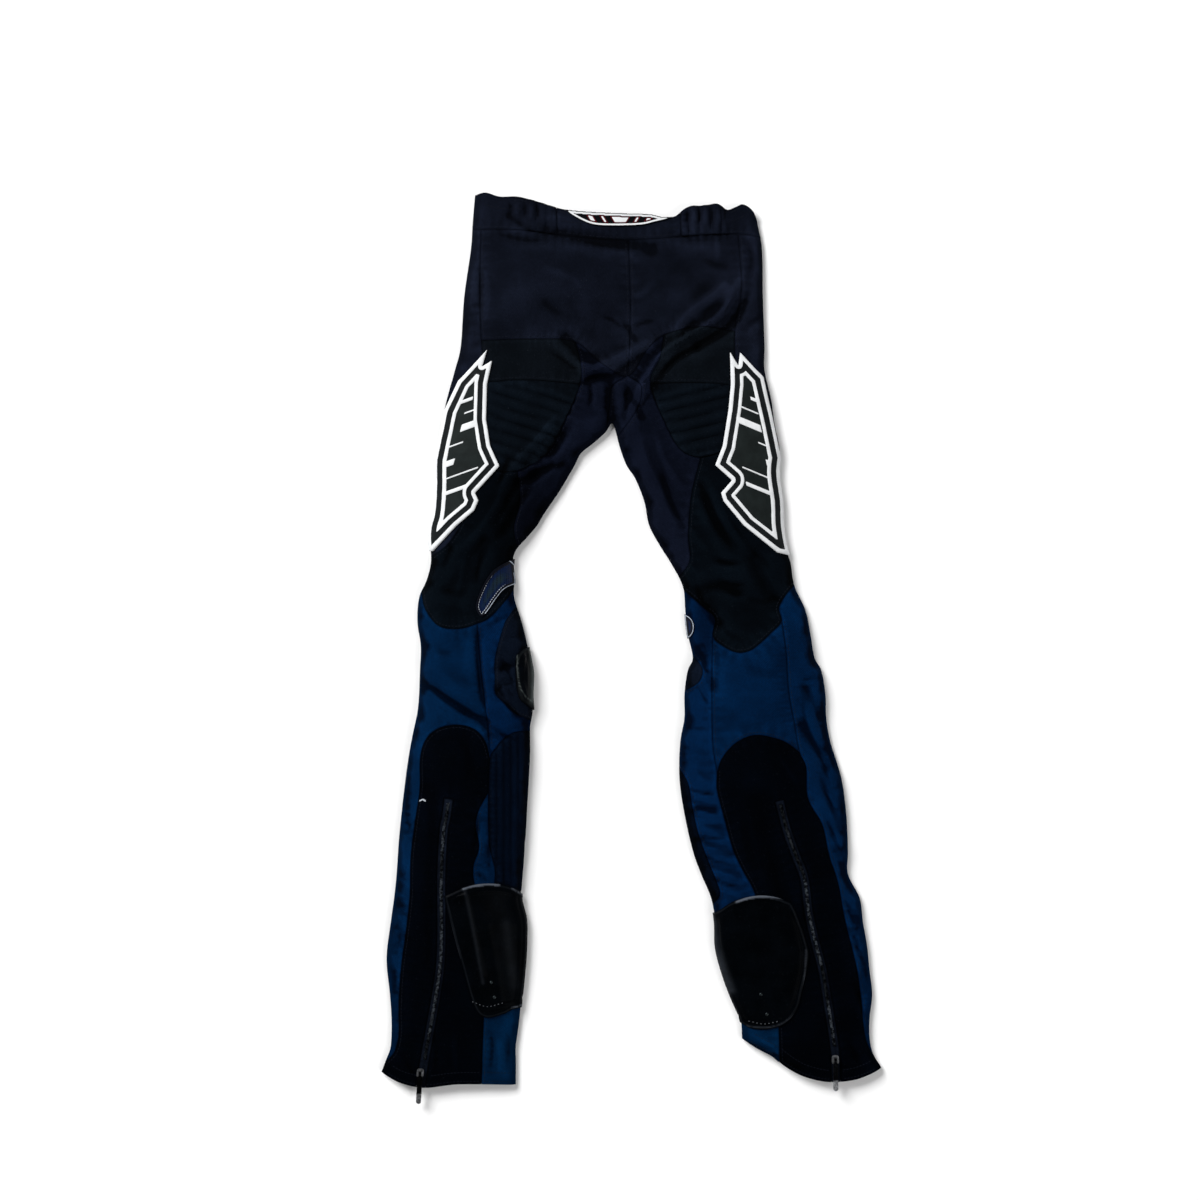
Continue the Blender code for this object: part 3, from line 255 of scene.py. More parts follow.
# Main creases: start, middle and end, then half width, and height above or below the cloth
FOLDS = [
    (113, 426, 68, 390, 17, 311, 9, 5), (73, 385, 40, 354, 23, 313, 7, -4),
    (23, 323, 11, 294, 0, 258, 7, 3), (-78, 368, -61, 350, -44, 341, 7, -4),
    (-55, 331, -19, 341, 20, 360, 7, 4), (-49, 320, -13, 326, 11, 347, 6, -3),
    (-25, 313, -26, 290, -24, 270, 5, -3), (-4, 301, 6, 289, 11, 275, 5, -3),
    (-103, 498, -31, 485, 23, 476, 9, -3), (29, 469, 73, 440, 97, 390, 22, -3),
    (-157, 152, -191, 104, -229, 56, 10, 3), (-176, 128, -202, 89, -222, 66, 9, -4),
    (-157, 119, -174, 86, -193, 53, 10, 3), (-252, -40, -218, -62, -174, -89, 6, -4),
    (-241, -30, -203, -56, -172, -78, 9, 2), (-161, -26, -151, -24, -139, -22, 5, -3),
    (-158, -52, -148, -66, -126, -90, 6, -3), (-181, 14, -178, -40, -170, -106, 6, -2),
    (71, 60, 88, 46, 102, 29, 7, -4), (83, 66, 102, 73, 126, 64, 8, -3),
    (82, -1, 90, -25, 96, -47, 6, -3), (208, -48, 224, -82, 238, -125, 8, -4),
    (202, -92, 220, -118, 238, -140, 8, -4), (68, -179, 83, -188, 98, -194, 6, -2.5),
    (73, -198, 90, -210, 109, -218, 6, -2), (80, -229, 100, -239, 119, -245, 6, -2.5),
    (88, -258, 107, -265, 126, -270, 6, -2), (229, -148, 241, -184, 248, -220, 9, -2.5),
    (248, -244, 260, -286, 268, -322, 8, -2.5), (265, -340, 275, -378, 280, -418, 7, -2),
    (-275, -148, -265, -184, -263, -226, 9, -2.5), (-280, -280, -272, -322, -280, -364, 8, -3),
    (-287, -376, -280, -412, -282, -448, 7, -2), (11, 248, 25, 200, 40, 152, 12, 2),
    (-85, 212, -103, 182, -121, 152, 12, -2.5), (143, 104, 161, 68, 179, 56, 10, -2.5),
    (-157, 416, -109, 428, -61, 416, 30, 2), (71, 416, 107, 428, 137, 416, 26, 2),
    (-241, -172, -234, -244, -239, -304, 12, -2), (149, -184, 164, -244, 179, -304, 12, -2),
]

# Ribs: start and end of a line across them, pitch, rise, plain margin, and reach each way
RIBS = {
    "thigh_stretch_left": ((-116, 318), (-150, 210), 14.0, 3.0, 9.0, 62.0),
    "thigh_stretch_right": ((68, 316), (90, 224), 14.0, 3.0, 9.0, 62.0),
    "shin_pad_left": ((-169, -191), (-120, -191), 8.4, 1.2, 5.0, 96.0),
    "waistband_left": ((-126, 514), (-85, 511), 12.5, 2.5, 6.0, 24.0),
    "waistband_right": ((56, 508), (118, 510), 13.0, 3.0, 6.0, 24.0),
}
GATHERED_RISE = 2.0

# The part of each ribbed panel that the ribs fill
RIB_RINGS = {
    "thigh_stretch_left": [
        (-173, 312), (-64, 311), (-83, 272), (-106, 233), (-136, 215), (-160, 215), (-182, 226),
        (-178, 260),
    ],
    "thigh_stretch_right": [
        (26, 311), (125, 310), (130, 248), (109, 238), (83, 230), (64, 236), (47, 263),
    ],
    "shin_pad_left": [
        (-167, -132), (-151, -109), (-137, -101), (-122, -101), (-125, -184), (-128, -256),
        (-130, -284), (-161, -284), (-167, -234), (-168, -173),
    ],
    "waistband_left": [(-124, 534), (-92, 526), (-90, 494), (-124, 500)],
    "waistband_right": [(61, 521), (71, 526), (86, 527), (104, 529), (115, 522), (116, 496), (62, 491)],
}

# Upper panels: a place inside each, and its finish
PANELS = {
    "waistband_left": ((-157, 518), "navy_cloth"),
    "waistband_centre": ((-13, 500), "navy_cloth"),
    "waistband_right": ((107, 506), "navy_cloth"),
    "seat_left": ((-85, 416), "navy_cloth"),
    "seat_right": ((71, 428), "navy_cloth"),
    "hip_side_left": ((-193, 416), "navy_cloth"),
    "hip_side_right": ((145, 428), "navy_cloth"),
    "thigh_pad_left": ((-121, 344), "black_cloth"),
    "thigh_pad_right": ((83, 344), "black_cloth"),
    "thigh_stretch_left": ((-133, 266), "black_stretch"),
    "thigh_stretch_right": ((83, 272), "black_stretch"),
    "gusset": ((-13, 296), "navy_cloth"),
    "inner_thigh_left": ((-85, 218), "navy_cloth"),
    "inner_thigh_right": ((29, 212), "navy_cloth"),
    "thigh_back_left": ((-181, 104), "black_cloth"),
    "thigh_back_right": ((131, 104), "black_cloth"),
    "knee_back_left": ((-217, -16), "blue_cloth"),
    "knee_inner_left": ((-169, -4), "blue_cloth"),
    "knee_pad_left": ((-138, -52), "black_stretch"),
    "shin_pad_left": ((-145, -184), "navy_rib"),
    "calf_panel_left": ((-203, -244), "black_cloth"),
    "calf_wedge_left": ((-174, -226), "blue_cloth"),
    "zip_tape_left": ((-226, -272), "zip_tape"),
    "hem_left": ((-157, -484), "blue_cloth"),
    "knee_back_right": ((137, -52), "blue_cloth"),
    "outer_strip_right": ((221, -88), "blue_cloth"),
    "inner_strip_right": ((83, -112), "blue_cloth"),
    "knee_pad_right": ((74, -31), "black_stretch"),
    "shin_pad_right": ((71, -220), "navy_rib"),
    "calf_panel_right": ((173, -244), "black_cloth"),
    "zip_tape_right": ((206, -275), "zip_tape"),
    "hem_right": ((155, -474), "blue_cloth"),
}

# Seams of the front panels under them
TRAY_SEAMS = {
    "waist_front": [(-191, 500), (-109, 496), (-4, 493), (83, 496), (155, 493)],
    "fly_edge": [(-23, 493), (-23, 416), (-18, 390), (-4, 376), (10, 390), (14, 416), (14, 494)],
    "centre_front": [(-4, 376), (-13, 344), (-22, 268)],
    "hip_front_left": [(-204, 361), (-121, 354), (-11, 347)],
    "hip_front_right": [(160, 361), (83, 354), (-11, 347)],
    "knee_top_left": [(-254, 56), (-198, 66), (-140, 56)],
    "knee_low_left": [(-264, -112), (-193, -126), (-121, -112)],
    "knee_top_right": [(198, 56), (131, 66), (64, 56)],
    "knee_low_right": [(239, -112), (150, -126), (59, -112)],
}

TRAY_PANELS = {
    "waistband_front": ((-13, 510), "navy_cloth"),
    "fly_flap": ((-4, 440), "navy_cloth"),
    "front_hip_left": ((-109, 416), "navy_cloth"),
    "front_hip_right": ((107, 416), "navy_cloth"),
    "front_thigh_left": ((-157, 200), "black_cloth"),
    "front_thigh_right": ((83, 200), "black_cloth"),
    "front_knee_left": ((-193, -28), "black_stretch"),
    "front_knee_right": ((143, -28), "black_stretch"),
    "front_shin_left": ((-217, -304), "navy_rib"),
    "front_shin_right": ((191, -304), "navy_rib"),
}

# What lies on the panels: thickness at the edge and in full, how far in it is full, and its finish
OVERLAYS = {
    "hip_plate_left": (2.0, 3.2, 12.0, "plate_grey"),
    "hip_plate_right": (2.0, 3.2, 12.0, "plate_grey"),
    "ankle_guard_left": (1.4, 3.4, 14.0, "guard_black"),
    "ankle_guard_right": (1.4, 3.4, 14.0, "guard_black"),
    "knee_cup_left": (1.6, 4.6, 16.0, "cup_grey"),
    "pod_left": (0.8, 1.4, 8.0, "mesh_blue"),
    "pod_right": (0.8, 1.4, 8.0, "mesh_blue"),
    "waist_patch": (0.8, 1.0, 6.0, "plate_grey"),
}
SHARP = ("hip_plate_left", "hip_plate_right")
LEAST_THICK = 0.3

# Where each zip's pull turns on its slider, and how far below that its dark end stops, in metres
PULL_PIVOTS = {"left": (-252.0, -509.0), "right": (244.0, -493.0)}
PULL_DARK_TO = 0.024
PULL_PLAIN_FROM = 0.026

# Small creases, in the same columns as the main ones
FINE_FOLDS = [
    (-134, 197, -103, 211, -65, 228, 5, -4), (-134, 197, -154, 165, -170, 128, 5.4, -3.2),
    (-128, 208, -100, 222, -68, 237, 4.2, 2.2), (-163, -33, -149, -24, -137, -22, 1.7, -1.7),
    (-164, -50, -149, -48, -141, -57, 1.6, -1.7), (-141, -57, -130, -70, -117, -84, 1.6, -1.7),
    (-154, 7, -138, 13, -123, 4, 1.7, -1.5), (137, 456, 111, 402, 70, 372, 4.5, 4.4),
    (70, 372, 37, 350, 18, 319, 3.4, 4.6), (18, 319, 2, 293, -4, 264, 3.1, 2.4),
    (147, 438, 122, 387, 79, 358, 4.5, -5), (79, 358, 49, 340, 29, 314, 3.2, -4.6),
    (28, 316, 13, 289, 7, 269, 3.1, -2.2), (125, 443, 96, 408, 58, 387, 4.5, -1.6),
    (172, 404, 153, 394, 131, 379, 3.6, -1.5), (165, 387, 150, 382, 137, 369, 2.9, 1.3),
    (-64, 316, -39, 332, -7, 327, 2.9, 2.6), (-69, 309, -41, 322, -14, 318, 2.7, -2.8),
    (-53, 321, -48, 302, -53, 282, 2.5, -2.4), (-47, 318, -41, 298, -44, 280, 2.5, 1.6),
    (-33, 325, -29, 298, -32, 269, 2.3, -2), (-8, 325, -4, 300, -10, 268, 2.5, -2.2),
    (-15, 321, -12, 297, -15, 272, 2.3, 1.5), (-105, 358, -77, 340, -58, 325, 3.2, -1.6),
    (-84, 352, -64, 337, -41, 333, 2.9, 1.4), (-15, 400, -3, 379, 13, 352, 3.1, -1.8),
    (-41, 397, -22, 390, -5, 375, 2.9, -1.3), (0, 379, 13, 387, 33, 390, 2.9, -1.4),
    (-4, 352, 7, 340, 13, 326, 2.5, 1.4), (-33, 352, -22, 340, -11, 337, 2.5, -1.2),
    (-112, 429, -98, 406, -71, 394, 7.2, -1.4), (75, 470, 103, 456, 131, 456, 7.2, -1.6),
    (27, 498, 75, 488, 131, 494, 5.4, -1.6), (-175, 502, -132, 488, -84, 486, 4.5, -1.8),
    (-147, 516, -125, 501, -105, 492, 3.1, -1.5), (-84, 491, -22, 480, 33, 486, 4.5, -1.3),
    (-188, 477, -181, 436, -186, 387, 4, -1.3), (-177, 463, -172, 422, -176, 379, 3.6, 1.2),
    (137, 498, 144, 463, 137, 429, 3.6, -1.5), (147, 491, 153, 456, 147, 422, 3.1, 1.3),
    (96, 497, 104, 477, 101, 456, 3.2, 1.2), (-119, 456, -77, 443, -50, 422, 6.3, 1.2),
    (33, 443, 13, 422, -8, 415, 5.4, 1.2), (-84, 284, -105, 255, -132, 225, 3.6, 2.2),
    (-69, 276, -90, 240, -116, 205, 7.2, -4.4), (-132, 225, -147, 200, -158, 168, 4.5, 2.8),
    (-116, 205, -138, 164, -170, 117, 7.2, -4.4), (-158, 168, -188, 129, -222, 94, 5.4, 2.4),
    (-170, 125, -181, 99, -186, 61, 4, -2), (-209, 144, -216, 117, -231, 82, 4, -2),
    (-147, 235, -150, 214, -165, 186, 3.2, -1.8), (-84, 255, -101, 207, -132, 168, 3.6, -1.6),
    (-69, 269, -84, 228, -112, 186, 3.6, 1.5), (-105, 193, -126, 168, -140, 144, 3.1, 1.3),
    (-195, 117, -202, 89, -209, 54, 3.6, 1.3), (-175, 82, -181, 61, -177, 36, 3.1, -1.4),
    (-230, 75, -209, 64, -190, 70, 3.6, -1.2), (13, 262, 27, 214, 53, 168, 4.5, -1.8),
    (24, 269, 40, 221, 70, 172, 4, 1.7), (33, 228, 47, 172, 76, 129, 4.5, -2.4),
    (53, 172, 75, 131, 96, 111, 3.6, 1.7), (75, 214, 100, 151, 131, 103, 5.9, -3.8),
    (88, 200, 117, 144, 165, 97, 4.5, 1.9), (103, 172, 137, 124, 180, 82, 4, -2),
    (93, 108, 111, 101, 136, 100, 3.1, -2.4), (89, 97, 107, 92, 131, 89, 2.9, 1.8),
    (100, 82, 118, 75, 142, 75, 3.1, -2.2), (103, 67, 122, 58, 144, 60, 3.1, 1.4),
    (75, 82, 82, 61, 96, 42, 3.2, -1.8), (65, 117, 70, 89, 75, 67, 3.6, 1.6),
    (-1, 235, 13, 193, 33, 165, 3.6, -1.3), (131, 61, 158, 54, 180, 64, 3.6, -1.3),
    (165, 352, 171, 316, 165, 283, 2.7, 1.6), (172, 332, 176, 297, 172, 262, 2.5, -1.5),
    (-209, 332, -212, 316, -204, 302, 2.7, -1.3), (-147, 535, -144, 526, -147, 516, 2, -1.6),
    (-138, 535, -136, 526, -138, 515, 2, 1.4), (-130, 533, -127, 523, -130, 512, 2, -1.6),
    (-122, 531, -119, 522, -122, 510, 2, 1.4), (-114, 530, -111, 520, -114, 509, 2, -1.6),
    (65, 524, 67, 515, 65, 505, 2, -1.6), (72, 526, 75, 515, 72, 504, 2, 1.5),
    (79, 527, 82, 515, 79, 502, 2, -1.7), (87, 527, 89, 515, 87, 501, 2, 1.5),
    (94, 529, 97, 515, 94, 501, 2, -1.7), (103, 529, 105, 515, 103, 501, 2, 1.4),
    (111, 530, 112, 516, 110, 502, 2, -1.4), (-249, -37, -224, -59, -198, -77, 2.1, -2.3),
    (-198, -77, -184, -83, -172, -84, 1.9, -1.8), (-247, -29, -220, -50, -194, -66, 3.2, 2),
    (-249, -52, -231, -69, -211, -79, 2, -1.2), (-241, -66, -227, -77, -216, -91, 2.2, 1.2),
    (-184, 36, -182, -22, -171, -98, 2.1, -2.4), (-176, 30, -173, -24, -162, -88, 2.6, 1.6),
    (-188, 21, -193, -7, -190, -34, 2.6, 1.1), (-181, 46, -166, 53, -151, 64, 2.2, -2),
    (-177, 38, -162, 45, -147, 54, 2.2, 1.6), (-170, 23, -159, 32, -143, 41, 2.1, -1.8),
    (-163, 0, -148, -25, -129, -70, 2.6, -3), (-170, -7, -157, -34, -138, -77, 2.6, 2),
    (-162, -47, -148, -43, -138, -44, 2.1, -2.2), (-161, -38, -150, -34, -140, -37, 1.9, 1.5),
    (-154, -62, -140, -77, -126, -87, 2.1, -1.8), (-170, -81, -150, -95, -125, -104, 2.7, 2.2),
    (-169, -90, -154, -104, -132, -112, 2.4, -2), (-175, -98, -165, -104, -150, -112, 2.1, -1.3),
    (-247, -97, -251, -112, -255, -129, 2.4, -1.6), (-237, 0, -223, -7, -209, -5, 3.2, -0.9),
    (-265, -173, -267, -201, -262, -228, 2.6, -1.8), (-272, -201, -273, -235, -270, -263, 2.7, 1.6),
    (-263, -242, -270, -270, -273, -298, 2.6, -1.6), (-181, -194, -184, -221, -190, -251, 2.4, -2),
    (-175, -201, -177, -228, -180, -256, 2.2, 1.8), (-168, -221, -170, -249, -166, -276, 2.2, -1.8),
    (-188, -263, -177, -274, -165, -281, 2.1, -1.6), (-184, -173, -180, -187, -183, -201, 2.1, 1.2),
    (-283, -312, -277, -339, -281, -374, 2.6, -1.8), (-273, -325, -279, -353, -274, -381, 2.4, 1.6),
    (-288, -374, -283, -395, -285, -423, 2.6, -1.6), (-285, -443, -279, -464, -284, -492, 2.7, -1.4),
    (-170, -450, -166, -478, -170, -513, 2.7, -1.8), (-159, -464, -155, -492, -161, -517, 2.6, 1.6),
    (-147, -450, -147, -485, -148, -517, 2.4, -1.4), (-272, -492, -263, -506, -258, -520, 2.7, -1.2),
    (-237, -450, -233, -485, -236, -513, 3.2, -1.1), (-209, -450, -211, -485, -206, -520, 3.2, 1),
    (-244, -312, -241, -353, -245, -395, 3.5, -1), (-209, -104, -195, -124, -191, -159, 4, -0.9),
    (-237, -117, -227, -104, -209, -101, 3.2, 0.9), (70, 35, 82, 14, 93, -13, 2.2, -2.4),
    (75, 38, 89, 17, 99, -7, 2.1, 2), (72, 0, 83, -13, 93, -37, 2.1, -2.2),
    (68, -25, 79, -34, 92, -56, 2.2, 1.8), (70, -41, 83, -54, 96, -77, 2.2, -2),
    (65, -62, 75, -77, 89, -97, 2.2, 1.6), (97, 14, 103, -20, 100, -62, 2.1, -1.4),
    (79, 60, 90, 49, 103, 35, 2.2, -1.6), (103, 28, 119, 14, 137, 7, 2.6, -1.2),
    (197, -34, 214, -38, 230, -34, 1.8, -2.2), (198, -41, 215, -44, 232, -40, 1.6, 1.5),
    (201, -29, 216, -31, 233, -27, 1.6, 1.2), (203, -48, 208, -90, 225, -131, 2.7, -2),
    (212, -52, 219, -90, 233, -124, 2.6, 2), (222, -44, 230, -77, 239, -117, 2.2, -2.4),
    (232, -62, 237, -97, 246, -129, 2.1, 1.6), (214, -104, 228, -138, 244, -173, 2.6, -2.2),
    (225, -111, 239, -142, 251, -166, 2.2, 1.7), (221, -145, 235, -180, 250, -215, 2.6, -2),
    (230, -159, 243, -187, 255, -208, 2.1, 1.6), (226, -187, 241, -224, 255, -253, 2.6, -2.2),
    (236, -201, 250, -233, 258, -256, 2.2, 1.7), (241, -242, 255, -270, 266, -305, 2.4, -2),
    (250, -256, 265, -284, 273, -312, 2.2, 1.6), (247, -284, 262, -319, 276, -353, 2.4, -2.2),
    (254, -284, 269, -312, 280, -339, 2.1, 1.7), (254, -319, 268, -353, 282, -389, 2.4, -2),
    (259, -353, 272, -381, 283, -410, 2.2, 1.6), (261, -388, 272, -416, 282, -450, 2.4, -1.8),
    (266, -423, 276, -443, 284, -471, 2.2, 1.4), (61, -93, 75, -98, 92, -95, 2.2, -1.6),
    (60, -124, 72, -131, 89, -130, 2.4, 1.2), (63, -167, 82, -173, 106, -176, 2.1, -2.4),
    (64, -176, 83, -181, 107, -184, 1.9, 1.8), (65, -187, 88, -194, 110, -197, 2.1, -2.2),
    (68, -201, 90, -208, 112, -208, 2.1, 1.7), (72, -219, 94, -227, 117, -228, 2.1, -2.2),
    (76, -233, 99, -241, 122, -242, 2.1, 1.7), (81, -246, 103, -256, 128, -259, 2.1, -2.3),
    (85, -262, 107, -270, 133, -276, 2.1, 1.8), (89, -274, 112, -282, 137, -288, 2.1, -2.2),
    (96, -284, 117, -292, 137, -298, 1.9, 1.4), (75, -145, 89, -154, 103, -154, 2.4, -1.2),
    (103, -97, 117, -104, 137, -101, 4, 0.8), (131, -20, 158, -31, 186, -27, 5.6, -0.9),
    (137, -471, 155, -485, 172, -489, 2.4, -1.8), (144, -464, 165, -475, 180, -485, 2.2, 1.4),
    (172, -489, 193, -500, 214, -506, 2.7, -1.4), (228, -381, 236, -423, 239, -464, 3.2, -1.2),
    (255, -464, 266, -485, 276, -506, 2.6, -1.4), (200, -284, 207, -312, 208, -346, 3.2, -1.2),
    (131, -187, 137, -228, 147, -270, 4.8, -0.9), (172, -124, 186, -145, 203, -173, 3.2, 0.9),
]

# How far each panel's ribs wander from straight, in millimetres
RIB_WANDER = {
    "thigh_stretch_left": 2.2, "thigh_stretch_right": 2.2, "shin_pad_left": 1.2,
    "waistband_left": 1.4, "waistband_right": 1.4,
}

# The look of panels whose colour differs from their finish's usual one
LOOKS = {
    "inner_thigh_left": "inner_thigh", "inner_thigh_right": "inner_thigh", "gusset": "inner_thigh",
    "thigh_back_left": "thigh_back", "thigh_back_right": "thigh_back",
    "calf_panel_left": "calf", "calf_panel_right": "calf",
    "knee_back_right": "blue_right", "outer_strip_right": "blue_right", "inner_strip_right": "strip_blue",
    "knee_inner_left": "strip_blue", "knee_pad_left": "knee_pad", "knee_pad_right": "knee_pad",
    "hem_left": "hem_blue", "hem_right": "hem_blue",
}

# The made-up motif on each plate: the line along it, then bars as place along the line, half width,
# reach to the left and right of the line, and slant
MOTIFS = {
    "hip_plate_left": ((-188, 306), (-232, 146), (
        (10, 2.2, -30, 2, 0.7), (27, 1.0, -3, 30, 0.7), (46, 4.6, -2, 30, 0.7), (66, 1.0, -30, 5, 0.7),
        (88, 4.0, -30, 1, 0.7), (108, 1.0, -3, 30, 0.7), (128, 2.6, -5, 30, 0.7),
    )),
    "hip_plate_right": ((142, 306), (178, 146), (
        (10, 2.2, -2, 30, -0.7), (27, 1.0, -30, 3, -0.7), (46, 4.6, -30, 2, -0.7), (66, 1.0, -5, 30, -0.7),
        (88, 4.0, -1, 30, -0.7), (108, 1.0, -30, 3, -0.7), (128, 2.6, -30, 5, -0.7),
    )),
    "waist_patch": ((-74, 520), (48, 520), (
        (22, 2.4, -20, 20, 0.6), (36, 1.2, -20, 20, 0.6), (52, 5.0, -20, 20, 0.6), (70, 5.0, -20, 20, -0.6),
        (86, 1.2, -20, 20, -0.6), (100, 2.4, -20, 20, -0.6),
    )),
}
MOTIF_EDGE = {"hip_plate_left": 13.0, "hip_plate_right": 13.0, "waist_patch": 4.6}

# Relief of the plates and the patch: where lines end, counted from the edge, their rise and their slope
PLATE_BORDER = 4.0
PLATE_LINE = (9.8, 13.9)
PLATE_RISE = 0.8
PLATE_SLOPE = 0.8
PATCH_BORDER = 2.0
PATCH_SLOPE = 0.7

# Where each pod's pale bound edge starts round its outline, and the edge of the piece lapped over it
POD_RIM = {"pod_left": 0.53, "pod_right": 0.0}
POD_LAPS = {"pod_left": [(-150, 106), (-143, 98), (-138, 91), (-133, 82)]}

# Guards: rounded ridges and grooves, each a line with its half width and height
GUARD_LINES = {
    "ankle_guard_left": [
        ([(-198, -288), (-188, -338), (-177, -390)], 2.6, 1.1),
        ([(-206, -296), (-178, -289), (-152, -290), (-134, -298)], 2.4, 1.3),
        ([(-172, -330), (-162, -380), (-156, -420)], 4.0, 0.5),
        ([(-180, -424), (-160, -427), (-136, -422), (-118, -412)], 2.0, -0.8),
        ([(-119, -322), (-118, -372), (-119, -410)], 2.2, -0.9),
    ],
    "ankle_guard_right": [
        ([(104, -328), (110, -364), (126, -412)], 2.0, -1.2),
        ([(124, -306), (154, -298), (182, -303)], 2.4, 1.4),
        ([(196, -318), (203, -350), (204, -384), (196, -420), (180, -442)], 1.6, -0.9),
        ([(140, -318), (146, -360), (152, -404)], 5.0, 0.6),
        ([(172, -320), (177, -362), (172, -410)], 5.0, 0.6),
        ([(122, -438), (148, -447), (172, -444)], 1.6, -0.8),
    ],
    "knee_cup_left": [
        ([(-131, -8), (-133, -34), (-131, -58)], 1.6, 1.0),
        ([(-116, -6), (-118, -36), (-114, -68)], 2.4, 0.6),
        ([(-127, -10), (-129, -34), (-126, -56)], 1.2, -0.8),
    ],
}

# Painted highlights on the plastic: a line, its half width and how pale it is
PAINTED_HIGHLIGHTS = {
    "ankle_guard_left": [
        ([(-200, -287), (-188, -283.5), (-174, -281.5), (-158, -282.5)], 0.8, 1.9),
        ([(-198, -288), (-188, -338), (-177, -400)], 1.8, 0.09),
        ([(-222, -302), (-213, -336), (-204, -370)], 1.0, 0.14),
        ([(-143, -288), (-132, -297), (-124, -306)], 0.8, 1.0),
        ([(-150, -330), (-146, -368), (-140, -404)], 5.0, 0.05),
        ([(-143, -431), (-130, -427), (-122, -414)], 0.7, 1.6),
    ],
    "ankle_guard_right": [
        ([(126, -303), (142, -297), (158, -295.5), (180, -298)], 0.9, 1.7),
        ([(98, -326), (104, -362), (120, -410)], 4.6, 0.22),
        ([(208, -360), (206, -398), (200, -430), (184, -447), (164, -454), (140, -453)], 0.8, 0.28),
    ],
    "knee_cup_left": [
        ([(-128, 6), (-135.5, -1), (-137, -16), (-136.5, -34), (-134.5, -46), (-130, -57), (-120, -66)],
         0.45, 0.7),
        ([(-120, 2), (-119, -30), (-120, -64)], 3.4, 0.8),
    ],
}

# Stretches of painted shade on the cloth: middle x and y, half width, half height, the share of light they
# lose
PAINTED_SHADE_PATCHES = [
    (-133, 150, 46, 74, 0.6), (-163, 124, 26, 40, 0.3), (-104, 190, 34, 22, 0.4),
    (90, 30, 15, 42, 0.5), (-211, -34, 48, 52, 0.2), (-205, 74, 40, 40, 0.25), (131, 44, 40, 40, 0.25),
    (51, 455, 34, 34, 0.16), (-90, 402, 28, 28, 0.16), (-50, 490, 70, 14, 0.16),
]

# Colours, on the screen's scale
SHEEN_TINT = (70, 84, 110)
LINT = (96, 104, 118)
LINT_SHARE = 0.10
PLATE_WHITE = (236, 238, 240)
PATCH_BLACK = (8, 10, 14)
PATCH_RED = (120, 24, 34)
PLATE_DARK = (29, 35, 35)
PLATE_BAND = (23, 27, 29)
POD_NAVY = (8, 12, 24)
POD_BLUE = (6, 29, 66)
POD_GREY = (28, 46, 56)
POD_WHITE = (190, 200, 214)
# Colours of the painted highlights on the guards and the knee cup
GUARD_HIGHLIGHT = (88, 94, 104)
CUP_HIGHLIGHT = (92, 100, 100)
GUARD_BLACK = (3, 5, 8)
CUP_BLACK = (6, 9, 14)
THREAD_NAVY = (17, 21, 32)
THREAD_WHITE = (205, 212, 220)
THREAD_GREY = (84, 88, 92)
TEETH_METAL = (124, 134, 146)
RIVET_METAL = (46, 52, 54)
SLIDER_METAL = (150, 152, 156)
PULL_METAL = (188, 190, 194)
PULL_DARK = (20, 21, 24)
FLOOR_WHITE = (0.9, 0.9, 0.9, 1.0)

# The wave texture's scale at which its bands are one millimetre apart
WAVE_SCALE = 314.159

# The share of each colour that its material keeps, and the painted light on ridges and painted shade in
# troughs of the cloth
OWN = 0.62
WHITE_OWN = 0.82
FOLD_PAINTED_LIGHT = 1.7
FOLD_PAINTED_SHADE = 0.36

# Cloths: material, colour, pitch of the threads in millimetres, their turn, and values of their own
MATT = {"specular": 0.01, "sheen": 0.006}
CLOTH_LOOKS = {
    "navy_cloth": ("cloth_seat", (14, 18, 29), 0.9, 0.0, {"twill": 0.6, "patchy": 0.22, "seam_light": 1.1}),
    "inner_thigh": ("cloth_inner_thigh", (11, 15, 27), 0.9, 0.5, {"twill": 0.6, **MATT}),
    "black_cloth": ("cloth_thigh_pad", (10, 15, 21), 0.8, 0.1, {}),
    "black_stretch": ("cloth_stretch", (7, 13, 20), 0.7, 0.2, {"rib_light": 0.2}),
    "thigh_back": ("cloth_thigh_back", (5, 10, 16), 0.8, 0.25, MATT),
    "calf": ("cloth_calf", (1, 3, 8), 0.8, 0.1, MATT),
    "blue_cloth": ("cloth_blue_left", (1, 24, 51), 0.9, 0.15, {"twill": 0.9, **MATT}),
    "blue_right": ("cloth_blue_right", (1, 25, 54), 0.9, -0.1, {"twill": 0.9, **MATT}),
    "hem_blue": ("cloth_hem_blue", (1, 26, 52), 0.9, 0.0, {"twill": 0.9, **MATT}),
    "knee_pad": ("cloth_knee_pad", (8, 14, 25), 0.7, 0.4, MATT),
    "strip_blue": ("cloth_strip_blue", (1, 22, 50), 0.9, -0.3, {"twill": 0.9, **MATT}),
    "navy_rib": ("cloth_ribbed", (3, 11, 25), 0.7, 0.05, {"rib_light": 0.55, **MATT}),
    "zip_tape": ("zip_tape_woven", (8, 12, 20), 0.6, 0.12, {"wear": 2.0, **MATT}),
}

# Overlays: spacing of the net, look, and the angle in degrees above which an edge is sharp
OVERLAY_LOOKS = {
    "hip_plate_left": (1.1, "plate", 45.0), "hip_plate_right": (1.1, "plate", 45.0),
    "ankle_guard_left": (1.8, "guard", 60.0), "ankle_guard_right": (1.8, "guard", 60.0),
    "knee_cup_left": (1.4, "cup", 60.0),
    "pod_left": (0.9, "pod", 45.0), "pod_right": (0.9, "pod", 45.0),
    "waist_patch": (0.9, "patch", 45.0),
}

